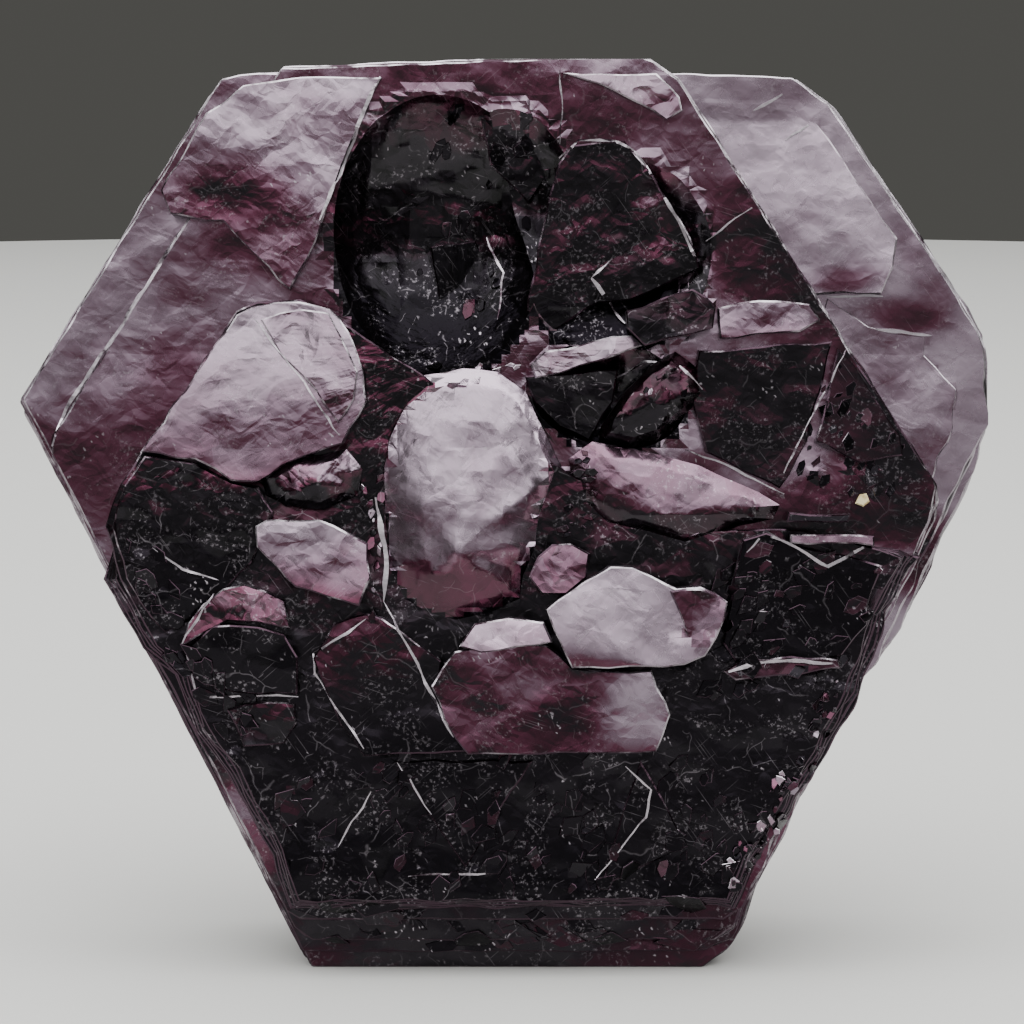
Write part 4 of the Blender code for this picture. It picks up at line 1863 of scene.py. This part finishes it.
TWIN = Booklet(
    name="twin_sheet",
    middle=(6.0, 16.0),
    sides={
        "right_corner": Side(2.0, 8.95),
        "upper_right_low": Side(28.5, 9.3),
        "upper_right": Side(34.0, 9.25),
        "top_right_corner": Side(54.5, 10.8),
        "top": Side(88.0, 11.3),
        "upper_left": Side(148.0, 8.0),
        "lower_left": Side(207.0, 6.0),
        "bottom": Side(270.0, 10.85),
        "lower_right_end": Side(322.0, 8.6),
        "lower_right": Side(335.4, 8.25),
        "right_corner_low": Side(346.5, 8.6),
    },
    layers=(
        Layer(4.9, 5.35, 0.0, {"lower_right": 0.35, "upper_right": 0.12, "upper_right_low": 0.1,
              "bottom": 0.9}, 0.22),
        Layer(5.35, 5.85, 0.0, {"lower_right": 0.1, "bottom": 0.3}, 0.25),
        Layer(5.85, 6.5, 0.0, {"upper_right": 0.1, "right_corner": 0.15}),
        Layer(6.5, 7.5, 0.0, {"top": 0.2, "lower_right": 0.2, "bottom": 0.2}),
        Layer(7.5, 8.6, 0.0, {"top": 0.6, "upper_right": 0.3, "upper_right_low": 0.35, "right_corner": 0.4}),
        Layer(8.6, 9.3, 0.0, {"top": 1.5, "upper_right": 1.0, "upper_right_low": 1.1, "right_corner": 1.2,
                              "bottom": 1.0}),
        Layer(9.3, 10.0, 0.0, {"top": 3.2, "upper_right": 1.9, "upper_right_low": 1.9, "right_corner": 2.0,
                               "bottom": 2.5, "lower_right": 0.9}),
    ),
)

# Painted shade: the hollows take dark tones, and the pinhole near black.
BOWLS = BowlField((
    Bowl("bowl_floor", (-1.95, -1.6, 22.2), (4.2, 5.4, 5.5), 2.0, Tone.SHADE),
    Bowl("bowl_side", (0.2, -2.0, 23.2), (3.2, 4.9, 4.6), 10.0, Tone.SHADE),
    Bowl("right_bowl", (3.3, 1.15, 21.5), (3.1, 1.6, 3.4), -25.0, Tone.SHADE),
    Bowl("right_trough", (3.1, 1.1, 17.4), (2.8, 1.5, 1.9), -8.0, Tone.SHADE),
    Bowl("pinhole", (1.9, 0.6, 14.5), (0.5, 1.9, 0.85), 0.0, Tone.BLACK),
))

LOWER_SHEET = (
    (-8.0, 19.9), (-7.4, 20.2), (-6.1, 20.3), (-4.6, 19.4), (-1.5, 17.4), (2.0, 15.0), (5.5, 13.4),
    (9.0, 13.4), (11.9, 12.6), (11.0, 10.9), (10.2, 8.6), (9.3, 6.8), (8.3, 5.2), (7.2, 3.5), (6.7, 2.3),
    (-6.2, 2.25), (-6.7, 3.8), (-8.0, 6.2), (-8.9, 7.4), (-9.5, 9.1), (-10.4, 9.9), (-11.5, 11.9),
        (-11.9, 13.5), (-11.5, 14.8),
)


@dataclass(frozen=True)
class Pages:
    """The thin sheets that show at the low rims of the lower sheet, each wider there than the one before it.

    Below border each sheet is wider than the last by across and taller by along, about the height middle.
    Above it all are drawn in to the shares in above, and so stay hidden.
    """

    count: int = 4
    across: float = 0.011
    along: float = 0.007
    front: float = 1.38
    lift: float = 0.1
    middle: float = 12.0
    border: float = 12.7
    above: tuple[float, float] = (0.97, 0.96)

    def lay(self) -> tuple[Flake, ...]:
        """The sheets, from the deepest to the foremost."""
        return tuple(self._page(number) for number in range(self.count, 0, -1))

    def _page(self, number: int) -> Flake:
        """One sheet, counted from the front.

        Args:
            number: Its number, from the front.

        Returns:
            The sheet, as a flake.
        """
        below = (1.0 + self.across * number, 1.0 + self.along * number)
        outline = []
        for x, height in LOWER_SHEET:
            wider, taller = below if height < self.border else self.above
            outline.append((x * wider, self.middle + (height - self.middle) * taller))
        front = self.front + self.lift * number
        return Flake(f"page_{number}", tuple(outline), front, 3.5, 0.6, 0.0, Tone.SHADE, 0.1, 0.6)


# Each flake's tone is painted reflection, darkened by its fade towards the bottom as painted shade.
FLAKES = FlakeField(Pages().lay() + (
    Flake("twin_upper_step",
          ((4.0, 22.0), (4.0, 26.4), (6.5, 26.4), (8.9, 26.3), (9.5, 25.9), (11.2, 23.3), (12.0, 22.2),
           (11.9, 21.3), (11.5, 20.5), (7.0, 20.5)), 4.7, 7.45, 5.0, 0.0, Tone.BRIGHT, 0.1, 0.08),
    Flake("twin_lower_step",
          ((9.9, 20.4), (11.2, 19.5), (12.9, 19.2), (12.9, 18.6), (13.9, 17.6), (13.8, 16.4), (12.6, 13.6),
           (10.0, 10.0), (8.0, 12.0)), 4.8, 7.35, 1.5, 1.0, Tone.PALE, 0.15, 0.1),
    Flake("top_left_terrace",
          ((-10.3, 23.5), (-10.0, 22.8), (-9.0, 22.65), (-8.4, 22.6), (-7.1, 21.2), (-6.4, 20.55),
           (-5.6, 22.0), (-4.9, 24.2), (-3.7, 26.9), (-6.1, 26.9), (-7.8, 26.6), (-8.9, 25.8)), 1.6, 3.4,
               3.0, -1.0,
          Tone.PALE, 0.3, 0.2),
    Flake("lower_sheet", LOWER_SHEET, 1.35, 3.5, 0.6, 0.0, Tone.DUSK, 0.32, 0.6),
    Flake("tan_fleck", ((10.5, 14.15), (10.62, 14.42), (10.85, 14.45), (10.95, 14.2), (10.75, 14.05)), 1.72,
          2.3, 8.0, 4.0, Tone.PALE, jag=0.02, slot=Slot.SPECK),
    Flake("left_plate",
          ((-8.0, 19.8), (-7.4, 20.1), (-6.1, 20.2), (-5.2, 20.0), (-4.6, 19.3), (-4.2, 18.1), (-4.1, 17.2),
           (-4.8, 16.0), (-6.6, 15.3), (-7.3, 14.8), (-8.1, 14.9), (-9.2, 15.5), (-10.8, 15.7)), 1.0, 3.05,
          7.0, -1.0, Tone.PALE, 0.46, 0.2),
    Flake("left_fold",
          ((-10.7, 15.6), (-9.2, 15.4), (-8.1, 14.8), (-7.3, 14.7), (-6.9, 13.9), (-7.6, 12.4), (-9.0, 10.9),
           (-10.2, 10.3), (-11.3, 11.9), (-11.7, 13.5), (-11.3, 14.7)), 1.05, 2.95, -5.0, 0.0, Tone.DUSK,
               0.35,
          0.75),
    Flake("small_plate",
          ((-7.4, 13.5), (-7.1, 13.7), (-5.5, 13.7), (-4.7, 13.4), (-4.1, 13.0), (-4.0, 12.0), (-4.3, 11.2),
           (-5.3, 11.5), (-6.2, 11.7), (-6.9, 12.4), (-7.4, 12.9)), 0.75, 2.6, 8.0, -2.0, Tone.PALE, 0.6,
               0.3),
    Flake("wedge_crest",
          ((-9.6, 9.9), (-9.4, 10.6), (-9.0, 11.2), (-8.4, 11.6), (-7.8, 11.8), (-7.1, 11.6), (-6.6, 11.3),
           (-6.4, 10.4), (-7.3, 10.6), (-8.3, 10.7), (-9.0, 10.3)), 0.95, 2.85, 14.0, -2.0, Tone.MAROON, 0.2,
          0.9),
    Flake("left_wedge",
          ((-9.5, 9.8), (-8.7, 10.6), (-7.3, 10.5), (-6.5, 10.3), (-6.2, 9.6), (-6.2, 8.5), (-8.1, 8.5),
           (-9.0, 8.8), (-9.4, 9.3)), 0.95, 2.9, -7.0, -3.0, Tone.BLACK, 0.0, 0.5),
    Flake("low_chip",
          ((-8.3, 8.0), (-7.3, 8.3), (-6.3, 8.2), (-6.2, 7.6), (-6.6, 7.0), (-7.8, 6.9)), 1.1, 2.75, -3.0,
          2.0, Tone.DUSK, 0.2, 0.8),
    Flake("lower_left_plate",
          ((-5.7, 9.6), (-5.1, 10.6), (-4.1, 10.9), (-3.6, 10.8), (-1.9, 9.5), (-2.0, 8.6), (-1.0, 6.8),
           (-4.2, 6.7), (-4.9, 7.6)), 0.85, 2.8, 1.5, -2.0, Tone.DUSK, 0.3, 0.45),
    Flake("lower_plate",
          ((-2.2, 8.8), (-1.5, 9.8), (-0.5, 10.0), (1.2, 10.0), (2.0, 9.3), (4.3, 9.2), (4.95, 7.9),
           (4.5, 6.8), (-1.1, 6.75), (-1.8, 7.8)), 0.5, 2.7, 3.0, 2.0, Tone.MAROON, 0.15, 0.25),
    Flake("lower_plate_crest",
          ((-1.4, 9.95), (-0.9, 10.6), (0.1, 10.85), (1.2, 10.7), (1.4, 10.1), (0.4, 9.9), (-0.7, 9.8)),
          0.55, 2.45, 14.0, 0.0, Tone.MAUVE, 0.1, 0.5),
    Flake("front_plate",
          ((1.2, 11.1), (1.9, 11.6), (3.1, 12.3), (3.8, 12.3), (5.1, 11.7), (5.8, 11.75), (6.6, 11.3),
           (6.55, 10.8), (5.9, 9.7), (5.3, 9.4), (2.0, 9.35)), 0.2, 2.5, 7.0, 1.0, Tone.PALE, 0.12, 0.14),
    Flake("front_plate_end",
          ((4.9, 11.65), (5.8, 11.7), (6.55, 11.25), (6.5, 10.8), (5.9, 9.75), (5.5, 9.8)), 0.2, 2.25, 3.0,
          6.0, Tone.MAROON, 0.0, 0.25),
    Flake("oval_scrap",
          ((0.75, 12.0), (1.0, 12.6), (1.4, 12.95), (1.95, 13.0), (2.5, 12.7), (2.4, 12.0), (1.8, 11.5),
           (1.05, 11.5)), 0.75, 2.3, 6.0, 2.0, Tone.MAROON, 0.1, 0.5),
    Flake("lower_right_plate",
          ((7.1, 13.1), (7.8, 13.3), (8.8, 12.9), (9.7, 12.7), (10.6, 12.55), (11.2, 12.35), (10.7, 10.6),
           (10.0, 9.6), (8.5, 9.4), (6.9, 9.5), (6.5, 10.0), (6.7, 11.2), (6.9, 12.4)), 1.0, 2.65, -1.0, 1.0,
          Tone.BLACK, 0.0, 0.45),
    Flake("ledge_bar",
          ((6.5, 9.2), (7.2, 9.6), (8.5, 9.65), (9.9, 9.55), (10.0, 9.25), (8.8, 9.1), (6.9, 8.95)),
          0.75, 2.4, 3.0, 0.0, Tone.SHADE, 0.0, 0.4),
    Flake("slot_bar", ((8.45, 13.9), (10.3, 13.85), (10.25, 13.6), (8.4, 13.65)), 1.0, 2.52, 12.0, 0.0,
          Tone.BLACK, 0.0, 0.1),
    Flake("slot_line", ((8.5, 13.3), (11.0, 13.2), (11.0, 12.95), (8.5, 13.0)), 0.85, 2.15, 10.0, 0.0,
          Tone.MAROON, 0.0, 0.1),
    Flake("slate_plate",
          ((9.3, 16.0), (10.0, 18.8), (10.4, 18.3), (11.2, 17.1), (11.8, 16.2), (11.9, 15.6), (10.6, 15.4)),
          1.5, 3.2, 1.0, 4.0, Tone.SHADE, 0.0, 0.1),
    Flake("brown_plate",
          ((5.8, 18.7), (7.6, 18.9), (9.8, 19.0), (9.0, 16.0), (8.2, 14.6), (6.0, 15.7), (5.6, 17.2)), 1.62,
          3.25, -2.0, 1.0, Tone.SHADE, 0.0, 0.3),
    Flake("bright_strip",
          ((6.35, 20.0), (7.6, 20.25), (9.1, 20.1), (9.4, 19.7), (8.8, 19.3), (6.4, 19.1)), 1.6, 3.8, 4.0,
          0.0, Tone.MAUVE, 0.24, 0.3),
    Flake("brick", ((3.6, 19.9), (5.6, 20.6), (6.3, 20.1), (6.2, 19.4), (4.2, 18.9), (3.6, 19.4)), 1.1, 4.0,
          5.0, 3.0, Tone.SHADE, 0.1, 0.6),
    Flake("pale_strip",
          ((0.75, 18.3), (1.2, 18.7), (2.5, 19.0), (3.8, 19.2), (4.1, 18.9), (2.8, 18.4), (1.6, 18.1),
           (0.9, 17.9)), 1.4, 4.15, 8.0, -2.0, Tone.MAUVE, 0.1, 0.6),
    Flake("left_facets", ((0.6, 18.0), (1.6, 18.0), (3.4, 18.2), (3.2, 17.2), (2.5, 16.0), (1.6, 16.5),
                          (0.9, 17.2)), 1.75, 4.3, -8.0, 4.0, Tone.SHADE, 0.1, 0.6),
    Flake("upper_right_plate",
          ((1.6, 24.3), (2.0, 24.9), (2.8, 25.0), (3.6, 25.0), (4.1, 24.4), (4.9, 23.2), (5.6, 22.1),
           (5.8, 21.2), (4.8, 20.7), (3.8, 20.3), (2.8, 20.2), (1.6, 19.4), (0.8, 18.9), (0.7, 20.2),
               (1.1, 22.3)), 1.86, 4.8,
          -4.0, 2.0, Tone.SHADE, 0.0, 0.55),
    Flake("bowl_facet", ((-2.3, 21.9), (-0.9, 22.1), (-0.3, 21.0), (-0.5, 19.4), (-1.5, 19.0), (-2.0, 20.2)),
          3.6, 5.3, -6.0, 12.0, Tone.BLACK, 0.0, 0.4),
    Flake("bowl_shelf", ((-0.9, 26.3), (1.3, 26.4), (1.5, 24.3), (0.7, 23.2), (-0.4, 24.3)), 2.4, 5.2, -7.0,
          5.0, Tone.DUSK, 0.15, 0.7),
    Flake("top_rim_flake", ((1.7, 27.0), (4.5, 27.0), (5.2, 26.3), (5.3, 25.9), (4.8, 25.6), (4.0, 26.1),
                            (2.8, 26.7)), 1.62, 3.3, 9.0, 0.0, Tone.MAUVE, 0.0, 0.5),
    Flake("triangle_left", ((-3.3, 6.5), (0.8, 6.5), (-1.2, 3.3)), 1.15, 2.2, 1.5, -1.0, Tone.BLACK, 0.0,
          0.3),
    Flake("triangle_right", ((4.05, 6.5), (5.5, 3.9), (2.9, 2.7), (3.4, 4.6)), 1.2, 2.1, 0.0, 2.0, Tone.BLACK,
          0.0, 0.3),
    Flake("striated_scrap",
          ((-7.3, 19.65), (-6.1, 20.0), (-5.25, 19.85), (-4.4, 18.1), (-4.45, 17.3), (-4.95, 16.6),
           (-5.6, 17.5), (-6.6, 18.6)), 0.96, 2.0, 7.0, -3.0, Tone.MAUVE, 0.1, 0.45),
))

SWELLINGS = SwellingField((
    Swelling(
        "middle_lump",
        ((-3.8, 14.1), (-3.8, 15.4), (-3.6, 16.4), (-3.1, 17.4), (-2.4, 18.0), (-1.3, 18.2), (-0.2, 18.1),
         (0.6, 17.5), (1.3, 16.1), (1.7, 15.3), (1.4, 14.5), (1.2, 13.9), (1.1, 12.9), (0.7, 12.0),
         (0.6, 11.2), (-0.2, 10.8), (-1.5, 10.5), (-2.4, 10.8), (-3.1, 11.2), (-3.6, 12.2)),
        (-1.4, 12.8), ((1.0, 0.0), (0.92, 0.35), (0.72, 0.62), (0.45, 0.85), (0.2, 1.0), (0.04, 1.1)),
        1.7, 0.17, Tone.PALE, Tone.MAUVE, 12.4,
    ),
    Swelling(
        "right_wave",
        ((1.9, 15.5), (2.6, 16.0), (4.0, 15.8), (5.8, 15.3), (7.6, 14.5), (8.2, 14.1), (8.0, 13.7),
         (7.0, 13.5), (5.5, 12.9), (4.0, 13.3), (2.8, 13.6), (2.1, 14.3)),
        (4.6, 13.9), ((1.0, 0.0), (0.8, 0.3), (0.45, 0.5), (0.2, 0.58), (0.04, 0.62)),
        1.55, 0.28, Tone.MAROON, Tone.MAROON, 14.0,
    ),
    Swelling(
        "glassy_shard",
        ((2.8, 16.0), (2.9, 16.5), (3.6, 17.5), (4.4, 18.3), (5.1, 18.7), (5.8, 18.2), (6.0, 17.5),
         (5.5, 16.9), (4.6, 16.1), (3.7, 15.8)),
        (4.3, 17.2), ((1.0, 0.0), (0.75, 0.55), (0.35, 0.8), (0.05, 0.9)),
        1.8, 0.9, Tone.SHADE, Tone.SHADE, 16.0,
    ),
    Swelling(
        "crushed_lumps",
        ((-7.3, 15.0), (-6.5, 15.6), (-5.5, 15.6), (-4.7, 15.8), (-4.25, 15.2), (-4.4, 14.4), (-5.4, 14.0),
         (-6.5, 14.1), (-7.1, 14.4)),
        (-5.6, 14.8), ((1.0, 0.0), (0.7, 0.3), (0.35, 0.4), (0.05, 0.45)),
        1.2, 1.0, Tone.MAROON, Tone.SHADE, 14.6,
    ),
))

# Tone mixes for scales, all painted reflection; the bright scales of the last are painted glints.
DARK = (Tone.BLACK, Tone.BLACK, Tone.SHADE)
MIXED = (Tone.BLACK, Tone.SHADE, Tone.MAROON)
DARK_WITH_GLINTS = (Tone.BLACK, Tone.SHADE, Tone.DUSK, Tone.BRIGHT)

LITTER = Litter(
    torn=(
        Torn("torn_below_lump", ((-3.63, 11.28), (-2.6, 9.4), (-1.53, 7.23))),
        Torn("torn_left", ((-10.47, 12.87), (-9.6, 12.2), (-8.52, 11.88)), 0.06, 0.06),
        Torn("torn_top", ((1.65, 27.1), (1.72, 26.0), (1.65, 24.9)), 0.05, 0.05),
        Torn("torn_wave", ((5.37, 15.81), (6.9, 15.2), (8.34, 14.43)), 0.06, 0.05),
        Torn("torn_right", ((8.3, 15.1), (9.3, 17.0), (10.41, 19.1)), 0.05, 0.05),
        Torn("torn_plate", ((-7.5, 19.7), (-6.15, 18.03), (-4.9, 16.2)), 0.05, 0.04),
        Torn("torn_lump_side", ((-3.87, 14.37), (-3.5, 12.33), (-3.63, 11.28)), 0.14, 0.10, Tone.BRIGHT),
        Torn("torn_low", ((-3.21, 6.45), (-2.19, 4.89)), 0.05, 0.05),
        Torn("terrace_line", ((-3.75, 26.9), (-4.4, 25.4), (-4.95, 24.0), (-5.5, 22.6)), 0.10, 0.07),
        Torn("left_line", ((-9.7, 22.4), (-11.5, 19.6), (-13.2, 17.0), (-13.65, 15.6)), 0.08, 0.05),
        Torn("plate_brow", ((1.6, 24.5), (2.2, 25.0), (3.2, 25.05), (3.9, 24.7), (4.5, 23.8), (5.2, 22.6),
                            (5.75, 21.4)), 0.08, 0.07),
        Torn("plate_crease", ((3.2, 21.5), (2.6, 20.9), (3.15, 20.2), (3.6, 19.55)), 0.09, 0.08),
        Torn("twin_line_upper", ((9.9, 20.4), (11.6, 20.46)), 0.10, 0.07, Tone.BRIGHT),
        Torn("twin_line_lower", ((11.4, 19.4), (12.2, 19.35), (13.1, 19.2)), 0.09, 0.06, Tone.BRIGHT),
        Torn("twin_glint_high", ((7.6, 26.15), (8.5, 26.6)), 0.12, 0.08, Tone.BRIGHT),
        Torn("twin_glint_low", ((8.6, 25.2), (9.3, 25.7)), 0.08, 0.05, Tone.BRIGHT),
        Torn("shard_line", ((3.3, 17.9), (4.2, 18.4), (5.2, 18.3), (5.9, 17.6)), 0.07, 0.06),
        Torn("low_crease", ((3.6, 6.3), (4.4, 5.6), (4.2, 4.8), (2.7, 2.9)), 0.05, 0.05),
        Torn("plate_left_edge", ((-3.9, 10.9), (-5.7, 9.7), (-5.7, 9.1), (-4.2, 6.9)), 0.06, 0.06),
        Torn("low_left_dash", ((-5.0, 3.9), (-4.0, 5.6)), 0.04, 0.04, Tone.MAUVE),
        Torn("low_line", ((-2.9, 3.05), (-0.5, 3.1)), 0.06, 0.05, Tone.MAUVE),
        Torn("slot_curve", ((7.2, 12.75), (7.75, 13.35), (8.7, 12.85), (9.6, 12.3), (11.0, 13.0)), 0.08,
             0.06),
        Torn("ledge_line", ((6.4, 9.1), (7.4, 9.45), (8.6, 9.55), (10.0, 9.4)), 0.09, 0.06),
        Torn("band_line", ((6.0, 22.0), (7.6, 23.2)), 0.05, 0.05),
        Torn("bowl_line", ((-0.6, 22.2), (-0.06, 21.1), (-0.24, 19.7)), 0.05, 0.05, Tone.MAUVE),
        Torn("wedge_left", ((-8.7, 11.5), (-9.6, 10.0), (-9.2, 8.4), (-6.2, 8.4)), 0.06, 0.05),
    ),
    beds=(
        ScaleBed("low_zone", ((-5.2, 6.5), (5.0, 6.5), (8.2, 5.2), (6.4, 2.6), (-5.5, 2.6), (-7.4, 6.0)), 90,
                 (0.2, 0.65), (0.03, 0.08), 9.0, DARK, 60.0),
        ScaleBed("right_middle", ((6.5, 13.0), (11.2, 12.2), (10.3, 8.9), (6.0, 8.3)), 50, (0.2, 0.6),
                 (0.03, 0.08), 9.0, DARK, 40.0),
        ScaleBed("right_ledge", ((9.7, 8.9), (10.4, 8.9), (8.9, 5.3), (7.0, 2.5), (6.4, 2.9), (7.9, 5.6)), 70,
                 (0.1, 0.34), (0.04, 0.12), 26.0, DARK_WITH_GLINTS, 60.0, 1.3),
        ScaleBed("left_zone", ((-11.5, 13.4), (-9.8, 12.5), (-9.2, 9.8), (-7.4, 8.3), (-8.2, 6.1),
                 (-10.3, 9.8)), 34, (0.2, 0.6), (0.03, 0.08), 9.0, DARK, -50.0),
        ScaleBed("lump_right", ((1.8, 15.6), (2.6, 15.8), (2.6, 13.7), (1.7, 12.8)), 16, (0.1, 0.3),
                 (0.03, 0.08), 14.0, MIXED),
        ScaleBed("lump_left", ((-4.3, 14.9), (-3.7, 15.2), (-3.6, 11.3), (-4.0, 10.7)), 22, (0.1, 0.3),
                 (0.03, 0.09), 20.0, DARK_WITH_GLINTS, 80.0),
        ScaleBed("foot_ledge", ((-6.0, 2.1), (6.3, 2.3), (5.9, 0.7), (-5.7, 0.7)), 34, (0.3, 0.8),
                 (0.02, 0.06), 6.0, DARK, 0.0, 2.4),
        ScaleBed("notch", ((-2.2, 18.3), (0.4, 18.3), (0.5, 17.5), (-2.0, 17.6)), 9, (0.15, 0.4),
                 (0.03, 0.08), 22.0, (Tone.PALE, Tone.BRIGHT), 20.0),
        ScaleBed("shard_glints", ((2.8, 16.3), (4.6, 18.4), (5.9, 18.2), (5.2, 16.3)), 14, (0.08, 0.22),
                 (0.03, 0.07), 25.0, DARK_WITH_GLINTS, 45.0),
        ScaleBed("bowl_wall", ((-2.0, 26.3), (0.5, 26.3), (1.0, 21.5), (-1.0, 19.4), (-3.2, 20.3)), 16,
                 (0.2, 0.6), (0.02, 0.05), 8.0, DARK, 75.0),
        ScaleBed("right_corner_zone", ((9.9, 18.9), (11.6, 16.7), (12.5, 14.9), (11.3, 13.9), (8.6, 14.6)),
                 34, (0.15, 0.45), (0.02, 0.06), 9.0, DARK, 60.0),
    ),
)

# Painted reflection and shade: soft patches painted lighter, as turned to the light, or darker, as facing the
# dark.
SHADES = (
    SoftShade((-12.3, 20.3), (1.9, 3.2), Tone.PALE, -32.0),
    SoftShade((-12.0, 18.2), (0.8, 1.2), Tone.MAROON, -32.0),
    SoftShade((-12.3, 16.2), (1.6, 1.6), Tone.MAROON),
    SoftShade((-8.4, 21.5), (2.4, 0.8), Tone.MAROON, 30.0),
    SoftShade((-9.8, 20.4), (1.6, 1.5), Tone.PALE, -30.0),
    SoftShade((-9.9, 18.0), (1.3, 2.0), Tone.DUSK, -30.0),
    SoftShade((-8.2, 23.2), (2.2, 1.2), Tone.DUSK, 10.0, "top_left_terrace"),
    SoftShade((-5.2, 25.9), (1.6, 0.9), Tone.MAUVE, -20.0, "top_left_terrace"),
    SoftShade((-5.9, 21.4), (1.2, 1.4), Tone.MAROON, 0.0, "top_left_terrace"),
    SoftShade((-4.7, 20.0), (0.9, 1.6), Tone.MAROON),
    SoftShade((4.6, 26.2), (1.8, 0.8), Tone.PALE),
    SoftShade((3.0, 25.9), (1.8, 0.9), Tone.MAROON),
    SoftShade((5.4, 24.6), (2.0, 1.0), Tone.MAUVE, -45.0),
    SoftShade((6.9, 22.6), (1.4, 0.9), Tone.MAROON, -55.0),
    SoftShade((8.1, 21.4), (2.2, 1.5), Tone.SHADE, -55.0),
    SoftShade((11.7, 16.8), (1.6, 2.6), Tone.BLACK),
    SoftShade((10.3, 13.9), (2.4, 1.0), Tone.SHADE),
    SoftShade((-3.1, 26.7), (1.6, 0.8), Tone.MAROON),
    SoftShade((0.2, 27.0), (1.6, 0.7), Tone.MAROON),
    SoftShade((0.0, 1.4), (9.0, 2.2), Tone.BLACK),
    SoftShade((-10.0, 8.0), (2.0, 6.0), Tone.BLACK, -30.0),
    SoftShade((10.4, 20.95), (1.5, 0.5), Tone.MAROON, 8.0, "twin_upper_step"),
    SoftShade((12.3, 19.8), (1.2, 0.5), Tone.MAROON, -8.0, "twin"),
    SoftShade((12.9, 21.2), (0.5, 1.6), Tone.MAUVE, 30.0, "twin"),
    SoftShade((12.8, 12.4), (1.2, 1.2), Tone.SHADE, 0.0, "twin"),
    SoftShade((11.6, 17.8), (0.9, 1.0), Tone.MAUVE, 0.0, "twin_lower_step"),
    SoftShade((4.0, 8.1), (1.5, 1.6), Tone.PALE, 20.0, "lower_plate"),
    SoftShade((1.6, 7.6), (1.6, 0.9), Tone.SHADE, 20.0, "lower_plate"),
    SoftShade((-4.6, 12.3), (0.8, 0.9), Tone.MAROON, -30.0, "small_plate"),
    SoftShade((-7.6, 16.0), (1.6, 0.8), Tone.MAROON, -10.0, "left_plate"),
    SoftShade((4.6, 22.9), (0.8, 1.8), Tone.MAROON, 25.0, "upper_right_plate"),
    SoftShade((5.9, 11.0), (0.7, 0.9), Tone.MAROON, 0.0, "front_plate"),
)

STUDIO = Studio((
    SoftBox("key", 0.0, 38.0, 0.34, (0.34, 0.20), 0.50),
    SoftBox("front_fill", 0.0, 8.0, 0.40, (0.50, 0.24), 0.17),
    SoftBox("top", 0.0, 86.0, 0.30, (0.40, 0.40), 2.0),
    SoftBox("left_fill", -72.0, 35.0, 0.32, (0.18, 0.20), 0.42),
    SoftBox("right_fill", 72.0, 35.0, 0.32, (0.18, 0.20), 0.42),
    SoftBox("back", 180.0, 40.0, 0.40, (0.44, 0.33), 0.60),
))


def main() -> None:
    """Builds the crystal and the studio, in order."""
    logging.basicConfig(level=logging.INFO)
    FINISHES.extend([CleavageFinish().build(), EdgeGlintFinish().build(), SpeckFinish().build()])
    crystal = Crystal(BODY, TWIN, BOWLS, FLAKES, SWELLINGS, LITTER, SHADES).build()
    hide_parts("crystal")
    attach(crystal, "root")
    LOG.info("crystal: %d faces", len(crystal.data.polygons))
    STUDIO.build()


if __name__ == "__main__":
    main()
